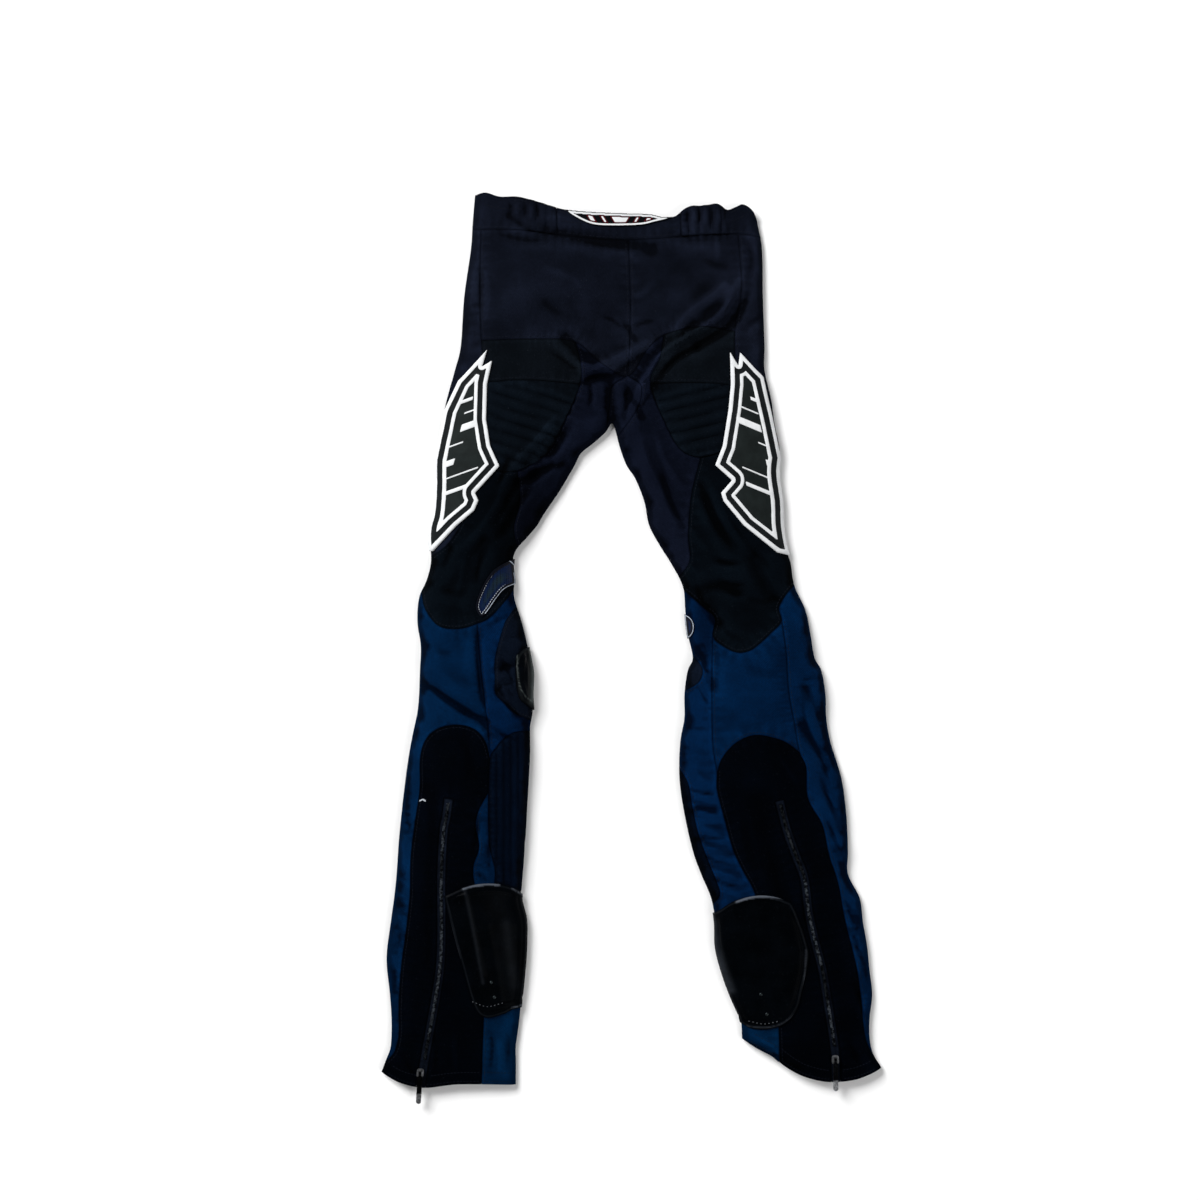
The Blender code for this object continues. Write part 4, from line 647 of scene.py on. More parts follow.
# Stitches, rivets and teeth, in millimetres; sizes are length, breadth and height
STITCH_PITCH = 4.0
STITCH_AWAY = 3.2
STITCH_OFFSETS = {"seat_seam": (-STITCH_AWAY, STITCH_AWAY), "elastic_left": (), "elastic_right": ()}
STITCH_BREADTH = 0.75
STITCH_HEIGHT = 0.6
STITCH_LIFT = 0.12
HEM_ROWS = (3.5, 14.0)
TOOTH_PITCH = 2.0
TOOTH_SIZE = (2.5, 1.25, 1.5)
TOOTH_OUT = 0.75
TOOTH_LIFT = 0.05
RIVETS = [(-166.8, -399.6), (-163.2, -417.6), (154.8, -414.0), (162.0, -438.0)]
RIVET_SIZE = (4.2, 4.2, 1.4)
RIVET_LIFT = 3.3
DOTS = [[(-189, -423), (-172, -429), (-154, -425)], [(141, -447), (158, -450), (174, -447)]]
DOT_PITCH = 4.6
DOT_SIZE = (2.0, 1.3, 1.0)
DOT_LIFT = 3.1
POD_STITCH_PITCH = 3.0
POD_STITCH_IN = 3.2
POD_STITCH_SIZE = (2.4, 0.9, 0.8)
POD_STITCH_LIFT = 1.35
TACK = [(-252, -183), (-248.5, -181.5), (-245, -183)]
TACK_PITCH = 0.7
TACK_SIZE = (2.2, 0.75, 0.6)
TACK_LIFT = 0.2

# The room, in metres and watts: each light's place, size and power, and how the sky's light falls off
FLOOR_HALF = 14.0
FLOOR_GAP = 0.0003
LIGHTS = {"key": ((-3.4, 3.4, 4.2), 3.0, 560.0), "fill": ((3.6, -2.4, 4.4), 3.6, 150.0)}
ROOM_RAMP = {1: 0.12, 2: 0.42, 3: 0.92, 4: 0.12}
CAMERA_LENS = 100.0
CAMERA_SENSOR = 36.0
CAMERA_PLACE = (-0.0377, 0.0582, 4.0)


def smoothstep(value):
    """A soft step from 0 to 1 as the value goes from 0 to 1."""
    t = np.clip(value, 0.0, 1.0)
    return t * t * (3.0 - 2.0 * t)


def curve(points, step, smooth=True):
    """Points about a step apart along a curve through the given points."""
    points = np.array(points, float)
    if smooth and len(points) > 2:
        ends = np.vstack([2 * points[0] - points[1], points, 2 * points[-1] - points[-2]])
        t = np.arange(0.0, 1.0, 0.1)[:, None]
        fine = []
        for a, b, c, d in zip(ends, ends[1:], ends[2:], ends[3:]):
            fine.append(
                0.5 * (2 * b + (c - a) * t + (2 * a - 5 * b + 4 * c - d) * t**2
                       + (3 * b - a - 3 * c + d) * t**3)
            )
        points = np.vstack(fine + [points[-1:]])
    run = run_along(points)
    marks = np.linspace(0.0, run[-1], max(1, round(run[-1] / step)) + 1)
    return np.column_stack([np.interp(marks, run, points[:, 0]), np.interp(marks, run, points[:, 1])])


def run_along(points):
    """The distance along a line of points at each of them."""
    return np.concatenate([[0.0], np.cumsum(np.hypot(*np.diff(points, axis=0).T))])


def across_line(line):
    """The unit direction to the left of a line at each of its points."""
    run = np.gradient(line, axis=0)
    return np.column_stack([-run[:, 1], run[:, 0]]) / np.hypot(*run.T)[:, None]


def within(points, outline):
    """Whether each point is inside a closed outline."""
    x, y = points[:, 0], points[:, 1]
    found = np.zeros(len(points), bool)
    for (x0, y0), (x1, y1) in zip(outline, np.roll(outline, -1, axis=0)):
        rise = (y1 - y0) if y1 != y0 else 1.0
        found ^= ((y0 > y) != (y1 > y)) & (x < x0 + (y - y0) * (x1 - x0) / rise)
    return found


class Near:
    """The nearest place on a set of lines: how far it is, how far along its line, and which line."""

    def __init__(self, lines, spacing=1.0):
        places, runs, owners, before, after = [], [], [], [], []
        for k, line in enumerate(lines):
            fine = curve(line, spacing, smooth=False)
            first, count = len(places), len(fine)
            places.extend(fine)
            runs.extend(run_along(fine))
            owners.extend([k] * count)
            before.extend([first] + list(range(first, first + count - 1)))
            after.extend(list(range(first + 1, first + count)) + [first + count - 1])
        self.places, self.runs, self.owners = np.array(places), np.array(runs), np.array(owners)
        self.before, self.after = np.array(before), np.array(after)
        self.tree = kdtree.KDTree(len(places))
        for i, (a, b) in enumerate(places):
            self.tree.insert((a, b, 0.0), i)
        self.tree.balance()

    def find(self, x, y):
        shape = np.shape(x)
        p = np.column_stack([np.ravel(x), np.ravel(y)]).astype(float)
        index = np.array([self.tree.find((a, b, 0.0))[1] for a, b in p])
        away = np.full(len(p), np.inf)
        for near in (self.before[index], self.after[index]):
            a, ab = self.places[index], self.places[near] - self.places[index]
            long = np.maximum((ab**2).sum(1), 1e-12)
            t = np.clip(((p - a) * ab).sum(1) / long, 0.0, 1.0)
            away = np.minimum(away, np.hypot(*(p - a - t[:, None] * ab).T))
        return away.reshape(shape), self.runs[index].reshape(shape), self.owners[index].reshape(shape)

    def away(self, x, y):
        return self.find(x, y)[0]


def edge_of(sections, column):
    """The side edge in one column of a section table, as points from the top down."""
    return [(row[column], row[0]) for row in sections]


def dome(sections, x, y):
    """The rounded section of a tube laid flat: from the edge height up to the crown."""
    rows = np.array(sections)[::-1]
    left, right, crown = (np.interp(y, rows[:, 0], rows[:, column]) for column in (1, 2, 3))
    across = np.clip((x - left) / (right - left), 0.0, 1.0)
    return EDGE_HEIGHT + (crown - EDGE_HEIGHT) * (1.0 - (2.0 * across - 1.0) ** 2) ** DOME_FULLNESS


def side_lines():
    """The closed side edges: outer left, outer right and the inner edges over the crotch."""
    def between(points, low, high):
        return [p for p in points if low[1] + SECTION_CLEAR < p[1] < high[1] - SECTION_CLEAR]

    middle = (CROTCH_X, CROTCH_Y)
    start, end = (0.0, LEG_START_Y), (0.0, LEG_START_Y + 2.0 * SECTION_CLEAR)
    hem_out, hem_in = HEMS["left"][-1], HEMS["left"][0]
    left = [WAIST[0]] + between(edge_of(TORSO, 1), start, WAIST[0])
    left += between(edge_of(LEFT_LEG, 1), hem_out, end) + [hem_out]
    inner = [hem_in] + between(edge_of(LEFT_LEG, 2), hem_in, middle)[::-1] + [middle]
    hem_out, hem_in = HEMS["right"][0], HEMS["right"][-1]
    right = [WAIST[-1]] + between(edge_of(TORSO, 2), start, WAIST[-1])
    right += between(edge_of(RIGHT_LEG, 2), hem_out, end) + [hem_out]
    inner += between(edge_of(RIGHT_LEG, 1), hem_in, middle) + [hem_in]
    return [curve(line, LINE_STEP) for line in (left, right, inner)]


def silhouette():
    """The edges of the flat garment in order round it, each with whether it is a closed side."""
    left, right, inner = SIDES
    waist = curve(WAIST, LINE_STEP)
    waist[0], waist[-1] = left[0], right[0]
    hem_right, hem_left = curve(HEMS["right"], LINE_STEP), curve(HEMS["left"], LINE_STEP)
    return [
        (False, waist), (True, right), (False, hem_right),
        (True, inner[::-1]), (False, hem_left), (True, left[::-1]),
    ]


def creases(table, x, y, taper=0.0):
    """Soft ridges and troughs along short curves; taper is the share of each over which a free end fades."""
    relief = np.zeros(np.shape(x))
    ends = [end for row in table for end in (row[0:2], row[4:6])]
    for x0, y0, x1, y1, x2, y2, width, depth in table:
        line = curve([(x0, y0), (x1, y1), (x2, y2)], max(width, CREASE_STEP))
        reach = CREASE_REACH * width
        low, high = line.min(0) - reach, line.max(0) + reach
        near = (x > low[0]) & (x < high[0]) & (y > low[1]) & (y < high[1])
        if not near.any():
            continue
        p = np.column_stack([x[near], y[near]])[:, None, :]
        a, ab = line[:-1][None], np.diff(line, axis=0)[None]
        t = np.clip(((p - a) * ab).sum(2) / (ab**2).sum(2), 0.0, 1.0)
        gaps = np.sqrt(((p - a - t[:, :, None] * ab) ** 2).sum(2))
        nearest = gaps.argmin(1)
        rows = np.arange(len(nearest))
        run = (nearest + t[rows, nearest]) / len(ab[0])
        fade = np.ones(len(run))
        if taper and ends.count((x0, y0)) == 1:
            fade *= smoothstep(run / taper)
        if taper and ends.count((x2, y2)) == 1:
            fade *= smoothstep((1.0 - run) / taper)
        relief[near] += depth * fade * np.exp(-((gaps[rows, nearest] / width) ** 2))
    return relief


def uneven(x, y, scale, seed):
    """Smooth, repeatable unevenness from -1 to 1, with bumps about one scale apart."""
    flat = np.array([
        noise.noise(Vector((a / scale, b / scale, seed))) for a, b in zip(np.ravel(x), np.ravel(y))
    ])
    return flat.reshape(np.shape(x))


def under_overlays(x, y):
    """1 where a plate, guard or patch lies on the cloth, fading to 0 just outside it."""
    cover = np.zeros(np.shape(x))
    p = np.column_stack([np.ravel(x), np.ravel(y)])
    for name, ring in RINGS.items():
        inside = within(p, ring).reshape(np.shape(x))
        faded = 1.0 - smoothstep(RING_NEAR[name].away(x, y) / COVER_FADE)
        cover = np.maximum(cover, np.where(inside, 1.0, faded))
    return cover


def surface(x, y, smooth=False):
    """The height of the cloth's outer face: the CAD's form, with the smaller creases and seams in it."""
    x, y = np.asarray(x, float), np.asarray(y, float)
    leg = np.where(x < CROTCH_X, dome(LEFT_LEG, x, y), dome(RIGHT_LEG, x, y))
    into_leg = smoothstep((LEG_START_Y - y) / (LEG_START_Y - LEG_FULL_Y))
    body = dome(TORSO, x, y) * (1.0 - into_leg) + leg * into_leg
    side = SIDE_NEAR.away(x, y)
    roll = np.sqrt(1.0 - (1.0 - np.clip(side / EDGE_ROLL, 0.0, 1.0)) ** 2)
    body = body + creases(FOLDS, x, y)
    if not smooth:
        bare = 1.0 - under_overlays(x, y)
        small = creases(FINE_FOLDS, x, y, FOLD_TAPER)
        for height, scale, seed in UNEVENNESS:
            small += height * uneven(x, y, scale, seed)
        away, run, owner = SEAM_NEAR.find(x, y)
        dip = SEAM_DIP * (1.0 - np.clip(away / SEAM_REACH, 0.0, 1.0)) ** 2
        beat = np.sin(run / (1.6 + 0.5 * np.sin(owner * 2.3)) + 1.7 * np.sin(run / 23.0 + owner))
        fade = np.exp(-(((away - 4.0) / PUCKER_REACH) ** 2)) * smoothstep(away / 3.0)
        small += PUCKER * beat * fade - dip
        body = body + small * bare
    return SIDE_HEIGHT + (body - SIDE_HEIGHT) * roll


def tray_surface(x, y):
    """The height of the front panels' outer face: flat on the surface, turned up at the sides."""
    out = 1.0 - np.clip(SIDE_NEAR.away(x, y) / TRAY_ROLL, 0.0, 1.0)
    return (SIDE_HEIGHT - SEAM_GAP) * out**TRAY_TURN


def run_and_cross(x, y, start, end):
    """How far places lie along a straight line and to its left, and the line's length."""
    (x0, y0), (x1, y1) = start, end
    length = math.hypot(x1 - x0, y1 - y0)
    run = ((x - x0) * (x1 - x0) + (y - y0) * (y1 - y0)) / length
    cross = ((x - x0) * (y0 - y1) + (y - y0) * (x1 - x0)) / length
    return run, cross, length


def rib_relief(name, x, y):
    """How far a ribbed panel's outer points stand up from its plain wall."""
    if name not in RIBS:
        return np.zeros(np.shape(x))
    start, end, pitch, rise, margin, _ = RIBS[name]
    run, cross, length = run_and_cross(x, y, start, end)
    run = run + RIB_WANDER[name] * uneven(cross, run, 26.0, 1.3)
    fade = smoothstep(run / margin) * smoothstep((length - run) / margin)
    rib = np.floor(run / pitch)
    swell = 1.0 + 0.16 * np.sin(rib * 2.1 + 0.4) + 0.2 * uneven(cross, rib * 40.0, 19.0, 5.5)
    profile = np.abs(np.sin(np.pi * run / pitch)) ** 0.75
    gather = 0.0
    if rise > GATHERED_RISE:
        gather = 0.16 * np.sin(cross / 0.9 + 3.0 * np.sin(rib)) * (1.0 - profile)
    return (rise * fade * swell * profile + gather * fade) * (1.0 - under_overlays(x, y))


class Net:
    """A flat triangle net whose lines are the seams and the open edges."""

    def __init__(self):
        self.lines = []

    def add(self, points):
        self.lines.append(np.array(points, float))

    def join(self, point):
        """The place on the lines so far that is nearest a new line's end, made a point of its line."""
        best = None
        for index, points in enumerate(self.lines):
            a, ab = points[:-1], np.diff(points, axis=0)
            t = np.clip(((point - a) * ab).sum(1) / (ab**2).sum(1), 0.0, 1.0)
            foot = a + t[:, None] * ab
            away = np.hypot(*(foot - point).T)
            k = int(np.argmin(away))
            if best is None or away[k] < best[0]:
                best = (away[k], index, k, foot[k])
        _, index, k, foot = best
        points = self.lines[index]
        near = min((k, k + 1), key=lambda i: np.hypot(*(points[i] - foot)))
        if np.hypot(*(points[near] - foot)) < JOIN_NEAR:
            return points[near]
        self.lines[index] = np.insert(points, k + 1, foot, axis=0)
        return foot

    def add_seam(self, points, step=LINE_STEP):
        """A seam whose two ends are set on the nearest earlier lines."""
        points = np.array(points, float)
        points[0] = self.join(points[0])
        points[-1] = self.join(points[-1])
        self.add(curve(points, step))

    def triangulate(self, free_points, boundary):
        """The triangles inside the boundary, and the set of edges that lie on lines."""
        places, index_of, edges = [], {}, []

        def place(point):
            key = (round(float(point[0]), 3), round(float(point[1]), 3))
            if key not in index_of:
                index_of[key] = len(places)
                places.append(Vector(key))
            return index_of[key]

        for points in self.lines:
            ids = [place(point) for point in points]
            edges.extend((a, b) for a, b in zip(ids, ids[1:]) if a != b)
        for point in free_points:
            place(point)
        verts, out_edges, faces, _, edge_ids, _ = delaunay_2d_cdt(places, edges, [], 0, 0.05, True)
        verts = np.array([(v.x, v.y) for v in verts])
        faces = np.array(faces)
        faces = faces[within(verts[faces].mean(1), boundary)]
        cuts = {tuple(sorted(edge)) for edge, ids in zip(out_edges, edge_ids) if ids}
        return verts, faces, cuts


class Sieve:
    """Keeps points apart: it takes a point only if none that it holds is too near."""

    def __init__(self, cell=4.0):
        self.cell, self.held = cell, {}

    def add(self, points):
        for x, y in points:
            key = (int(x // self.cell), int(y // self.cell))
            self.held.setdefault(key, []).append((x, y))

    def take(self, points, gap):
        kept = []
        for x, y in points:
            i, j = int(x // self.cell), int(y // self.cell)
            near = any(
                (x - a) ** 2 + (y - b) ** 2 < gap * gap
                for u in (i - 1, i, i + 1) for v in (j - 1, j, j + 1)
                for a, b in self.held.get((u, v), ())
            )
            if not near:
                kept.append((x, y))
                self.held.setdefault((i, j), []).append((x, y))
        return kept


def hex_field(low, high, step):
    """An even field of points between two corners."""
    rows = []
    for k, y in enumerate(np.arange(low[1], high[1], step * math.sqrt(0.75))):
        xs = np.arange(low[0] + (k % 2) * step / 2.0, high[0], step)
        rows.append(np.column_stack([xs, np.full(len(xs), y)]))
    return np.vstack(rows)


def split_panels(faces, cuts):
    """A label for each face, shared by the faces on one side of the cuts, and the inner edges."""
    owner = list(range(len(faces)))

    def find(i):
        while owner[i] != i:
            owner[i] = owner[owner[i]]
            i = owner[i]
        return i

    first, inner = {}, set()
    for i, (a, b, c) in enumerate(faces.tolist()):
        for edge in ((a, b), (b, c), (c, a)):
            edge = edge if edge[0] < edge[1] else (edge[1], edge[0])
            if edge not in first:
                first[edge] = i
                continue
            inner.add(edge)
            if edge not in cuts:
                owner[find(first[edge])] = find(i)
    return np.array([find(i) for i in range(len(faces))]), inner


def face_at(verts, faces, point):
    """The face that a point lies in."""
    a, b, c = (verts[faces[:, i]] for i in range(3))

    def side(u, v):
        return (v[:, 0] - u[:, 0]) * (point[1] - u[:, 1]) - (v[:, 1] - u[:, 1]) * (point[0] - u[:, 0])

    return int(np.argmax(np.minimum.reduce([side(a, b), side(b, c), side(c, a)])))


def rim_edges(faces):
    """The edges that only one of the faces has, in that face's direction."""
    edges = np.vstack([faces[:, [0, 1]], faces[:, [1, 2]], faces[:, [2, 0]]]).astype(np.int64)
    size = int(faces.max()) + 1
    return edges[~np.isin(edges[:, 1] * size + edges[:, 0], edges[:, 0] * size + edges[:, 1])]


def inset(verts, rim, inner, amount):
    """The flat points with the seam rims moved in, so that neighbours stay apart."""
    pushes = {}
    for a, b in rim.tolist():
        run = verts[b] - verts[a]
        normal = np.array([-run[1], run[0]]) / np.hypot(*run)
        want = amount if ((a, b) if a < b else (b, a)) in inner else 0.0
        for v in (a, b):
            pushes.setdefault(v, []).append((normal, want))
    out = verts.copy()
    for v, rules in pushes.items():
        if any(want for _, want in rules):
            rows = np.array([normal for normal, _ in rules])
            shift = np.linalg.lstsq(rows, np.array([want for _, want in rules]), rcond=0.2)[0]
            out[v] = verts[v] + shift * min(1.0, 3.0 * amount / max(np.hypot(*shift), 1e-9))
    return out


def point_normals(points, faces):
    """Unit normals at the points of a mesh, from the faces round each."""
    a, b, c = (points[faces[:, i]] for i in range(3))
    face_normals = np.cross(b - a, c - a)
    total = np.zeros((len(points), 3))
    for column in range(3):
        np.add.at(total, faces[:, column], face_normals)
    return total / np.maximum(np.linalg.norm(total, axis=1), 1e-12)[:, None]


def side_outs(verts):
    """The level outward direction at each net point on a closed side."""
    outs = {}
    for closed, line in LOOP:
        if not closed:
            continue
        near = np.nonzero(Near([line]).away(verts[:, 0], verts[:, 1]) < 0.02)[0]
        ab = np.diff(line, axis=0)
        for v in near:
            t = np.clip(((verts[v] - line[:-1]) * ab).sum(1) / (ab**2).sum(1), 0.0, 1.0)
            touching = ab[np.hypot(*(line[:-1] + t[:, None] * ab - verts[v]).T) < 0.05]
            run = (touching / np.hypot(*touching.T)[:, None]).sum(0)
            outs[int(v)] = np.array([-run[1], run[0]]) / np.hypot(*run)
    return outs


def metres(points):
    """Points of the tables' frame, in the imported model's frame."""
    return (np.asarray(points, float) - (CENTRE_X, CENTRE_Y, 0.0)) / 1000.0


def shell(outer, inner, faces):
    """A closed mesh between an outer and an inner copy of the same faces, and the points it uses."""
    used = np.unique(faces)
    index = np.zeros(int(used.max()) + 1, np.int64)
    index[used] = np.arange(len(used))
    top, count = index[faces], len(used)
    a, b = index[rim_edges(faces)].T
    walls = [np.column_stack([b, a, a + count]), np.column_stack([b, a + count, b + count])]
    return np.vstack([outer[used], inner[used]]), np.vstack([top, top[:, ::-1] + count] + walls), used


def add_mesh(name, points, faces, finish, values=(), sharp=45.0):
    """A named piece from points in the tables' frame, with the values that its material reads."""
    mesh = bpy.data.meshes.new(name)
    mesh.from_pydata(metres(points).tolist(), [], np.asarray(faces).tolist())
    for key, data in dict(values).items():
        attribute = mesh.attributes.new(key, "FLOAT", "POINT")
        attribute.data.foreach_set("value", np.asarray(data, np.float32))
    mesh.materials.append(finish)
    mesh.shade_smooth()
    mesh.set_sharp_from_angle(angle=math.radians(sharp))
    made = bpy.data.objects.new(name, mesh)
    bpy.context.scene.collection.objects.link(made)
    return made


def settle(piece, node):
    """The piece stands for its CAD node, if it has one, which is hidden, and moves with the trousers."""
    if node:
        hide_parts(node)
    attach(piece, "trousers")


def declare_cloth(flat, points, faces):
    """Works out what the panel was cut to: its own length and breadth, and its area on the cloth."""
    own = flat[np.unique(faces)]
    own = own - own.mean(0)
    axes = np.linalg.svd(own, full_matrices=False)[2]
    spread = own @ axes.T
    length, breadth = sorted((spread.max(0) - spread.min(0)) / 1000.0, reverse=True)
    a, b, c = (points[faces[:, i]] for i in range(3))
    area = float(np.linalg.norm(np.cross(b - a, c - a), axis=1).sum() / 2e6)
    breadth = max(min(breadth, area / (0.6 * length)), 1.02 * area / length)


def take_slivers(faces, labels, named):
    """Gives the faces of any label without a name to the named panel that they share most edges with."""
    for lost in sorted(set(labels.tolist()) - named):
        own = set(np.unique(faces[labels == lost]).tolist())
        touching = np.array([len(own & set(face)) == 2 for face in faces.tolist()])
        beside = [n for n in labels[touching].tolist() if n in named]
        if not beside or (labels == lost).sum() > SLIVER_FACES:
            raise ValueError(f"a panel with no name: {lost}")
        labels[labels == lost] = max(sorted(set(beside)), key=beside.count)


def stand_out(heights, faces, rounds):
    """How far each point stands above, or lies below, its smoothed surroundings."""
    a = np.concatenate([faces[:, 0], faces[:, 1], faces[:, 2]])
    b = np.concatenate([faces[:, 1], faces[:, 2], faces[:, 0]])
    count = np.bincount(np.concatenate([a, b]), minlength=len(heights)).astype(float)
    level = heights.copy()
    for _ in range(rounds):
        total = np.bincount(a, level[b], len(heights)) + np.bincount(b, level[a], len(heights))
        level = 0.35 * level + 0.65 * total / np.maximum(count, 1.0)
    return heights - level


def tape_edge(points):
    """The stitched edge of a zip's tape, down one side and up the other."""
    middle = curve(points, LINE_STEP)
    side = across_line(middle) * ZIP_TAPE_HALF
    return np.vstack([(middle - side)[::-1], middle + side])


def edge_net(seams, step, spacing):
    """A net with the garment's edges and some seams, and a sieve that holds points along them."""
    net, sieve = Net(), Sieve()
    for _, line in LOOP:
        net.add(line)
    for points in seams:
        net.add_seam(points, step)
    for line in net.lines:
        sieve.add(curve(line, spacing, smooth=False))
    return net, sieve


def beside(line, offset):
    """The inner points of a line, moved to its left."""
    return line[1:-1] + across_line(line)[1:-1] * offset


def fill(sieve, outline, step, gap):
    """Points of an even field inside an outline, clear of those that the sieve holds."""
    field = hex_field(outline.min(0), outline.max(0), step)
    return sieve.take(field[within(field, outline)], gap)


def cloth_base(verts, faces):
    """The net's points on the cloth's outer face, and their normals, level at the closed sides."""
    outs = side_outs(verts)
    base = np.column_stack([verts, surface(*verts.T)])
    base[list(outs), 2] = SIDE_HEIGHT
    normals = point_normals(base, faces)
    for v, out in outs.items():
        normals[v] = (out[0], out[1], 0.0)
    return base, normals


def add_closed(name, outer, inner, faces, finish, values, sharp=45.0):
    """A named piece closed between two copies of a net's faces, with the net's values on both."""
    points, closed, used = shell(outer, inner, faces)
    values = {key: np.tile(data[used], 2) for key, data in values.items()}
    return add_mesh(name, points, closed, finish, values, sharp)


def build_upper():
    """The seat and the backs of the legs; it gives the seams' lines on the net."""
    global SEAM_NEAR
    outlines = list(SEAMS.values()) + [tape_edge(points) for points in ZIPS.values()]
    net, sieve = edge_net(outlines, LINE_STEP, 1.2)
    seams = net.lines[len(LOOP):]
    SEAM_NEAR = Near(seams)
    free = []
    for closed, line in LOOP:
        for depth in SIDE_RINGS if closed else ():
            ring = beside(line, -depth)
            free += sieve.take(ring[SIDE_NEAR.away(*ring.T) > 0.8 * depth], 0.45 + 0.2 * depth)
    for line in seams:
        for offset in (-SEAM_REACH, SEAM_REACH):
            free += sieve.take(beside(line, offset), 1.5)
    for name, ring in RIB_RINGS.items():
        rows = rib_points(name)
        free += sieve.take(rows[within(rows, np.array(ring, float))], 1.7)
    free += fill(sieve, BOUNDARY, FIELD_STEP, 2.3)
    verts, faces, cuts = net.triangulate(free, BOUNDARY)
    labels, inner = split_panels(faces, cuts)
    base, normals = cloth_base(verts, faces)
    # fold_mm, the height above the smoothed surroundings, sets the painted light on ridges and the painted
    # shade in troughs
    fold = stand_out(base[:, 2], faces, FOLD_ROUNDS) * smoothstep(SIDE_NEAR.away(*verts.T) / 9.0)
    values = {
        "seam_mm": np.minimum(SEAM_NEAR.away(*verts.T), FAR_MM), "fold_mm": fold,
        "tarnish_and_painted_shade": tarnish_and_painted_shade(*verts.T),
    }
    take_slivers(faces, labels, {int(labels[face_at(verts, faces, seed)]) for seed, _ in PANELS.values()})
    for name, (seed, finish) in PANELS.items():
        own = faces[labels == labels[face_at(verts, faces, seed)]]
        flat = inset(verts, rim_edges(own), inner, SEAM_GAP / 2)
        low = base.copy()
        low[:, :2] = flat
        used = np.unique(own)
        values["rib"] = np.zeros(len(verts))
        values["rib"][used] = rib_relief(name, *flat[used].T)
        outer = low + normals * values["rib"][:, None]
        piece = add_closed(
            f"{name}_cloth", outer, low - normals * WALL, own, CLOTHS[LOOKS.get(name, finish)], values
        )
        settle(piece, name)
        declare_cloth(flat, outer, own)
    return dict(zip(SEAMS, seams))


def tarnish_and_painted_shade(x, y):
    """How much painted shade darkens the cloth in its shaded stretches, from 0 to 1."""
    share = np.zeros(np.shape(x))
    for middle_x, middle_y, half_x, half_y, most in PAINTED_SHADE_PATCHES:
        away = ((x - middle_x) / half_x) ** 2 + ((y - middle_y) / half_y) ** 2
        share = np.maximum(share, most * np.exp(-(away**2)))
    return share


def rib_points(name):
    """Rows of points along the crests and troughs of a ribbed panel."""
    start, end, pitch, _, _, reach = RIBS[name]
    start, end = np.array(start, float), np.array(end, float)
    length = math.hypot(*(end - start))
    along = (end - start) / length
    cross = np.array([-along[1], along[0]])
    rows = max(4, round(pitch / 2.2))
    runs = np.arange(pitch / rows, length, pitch / rows)
    return np.array([
        start + along * run + cross * k for run in runs for k in np.arange(-reach, reach, 3.0)
    ])


def build_tray():
    """The front panels, flat on the surface."""
    net, sieve = edge_net(TRAY_SEAMS.values(), 2.0 * LINE_STEP, 1.5)
    free = []
    for closed, line in LOOP:
        for depth in TRAY_RINGS if closed else ():
            free += sieve.take(beside(line, -depth), 0.5 + 0.3 * depth)
    free += fill(sieve, BOUNDARY, TRAY_STEP, 0.6 * TRAY_STEP)
    verts, faces, cuts = net.triangulate(free, BOUNDARY)
    labels, inner = split_panels(faces, cuts)
    outer = np.column_stack([verts, tray_surface(*verts.T)])
    normals = point_normals(outer, faces)
    for v, out in side_outs(verts).items():
        normals[v] = (-out[0], -out[1], 0.0)
    values = {"seam_mm": np.full(len(verts), FAR_MM)}
    for name, (seed, finish) in TRAY_PANELS.items():
        own = faces[labels == labels[face_at(verts, faces, seed)]]
        low = outer.copy()
        low[:, :2] = inset(verts, rim_edges(own), inner, SEAM_GAP / 2)
        look = CLOTHS[LOOKS.get(name, finish)]
        piece = add_closed(f"{name}_cloth", low + normals * WALL, low, own, look, values)
        settle(piece, name)
        declare_cloth(low[:, :2], low, own)


def overlay_net(ring, step):
    """The fine net of what lies inside an outline, ended by the cloth's own edge."""
    net, sieve = Net(), Sieve()
    net.add(ring)
    low, high = ring.min(0) - 6.0, ring.max(0) + 6.0
    for line in SIDES:
        close = (line > low).all(1) & (line < high).all(1)
        for part in np.split(np.arange(len(line)), np.nonzero(np.diff(close.astype(int)))[0] + 1):
            if close[part[0]] and len(part) > 1:
                net.add(curve(line[part], step, smooth=False))
    for line in net.lines:
        sieve.add(curve(line, 0.6 * step, smooth=False))
    free = []
    for line in net.lines:
        for offset in (-0.5, 0.5, -1.2, 1.2):
            free += sieve.take(beside(line, offset), 0.5)
    free += fill(sieve, ring, step, 0.62 * step)
    verts, faces, _ = net.triangulate(free, ring)
    faces = faces[within(verts[faces].mean(1), BOUNDARY)]
    base, normals = cloth_base(verts, faces)
    rim = Near([verts[edge] for edge in rim_edges(faces).tolist()], 0.5)
    return verts, faces, base, normals, rim.away(*verts.T)


def build_overlay(name, step, shape, finish, sharp):
    """A plate, guard or patch on the cloth; shape gives its extra thickness and its material's values."""
    edge_thick, full_thick, ramp, slot = OVERLAYS[name]
    verts, faces, base, normals, away = overlay_net(RINGS[name], step)
    swell = np.sin(0.5 * np.pi * np.clip(away / ramp, 0.0, 1.0))
    thick = edge_thick + (full_thick - edge_thick) * swell
    extra, values = shape(name, verts, away)
    low = base + normals * LIFT
    high = low + normals * np.maximum(thick + extra, LEAST_THICK)[:, None]
    settle(add_closed(f"{name}_face", high, low, faces, finish, values, sharp), name)


def motif_away(name, x, y, edge):
    """The signed distance into the plate's bars: positive inside one."""
    start, end, bars = MOTIFS[name]
    run, cross, _ = run_and_cross(x, y, start, end)
    inside = np.max([
        np.minimum.reduce([
            (half - np.abs(run + slant * cross - place)) / math.hypot(1.0, slant), cross - low, high - cross,
        ]) for place, half, low, high, slant in bars
    ], axis=0)
    return np.minimum(inside, edge - MOTIF_EDGE[name])


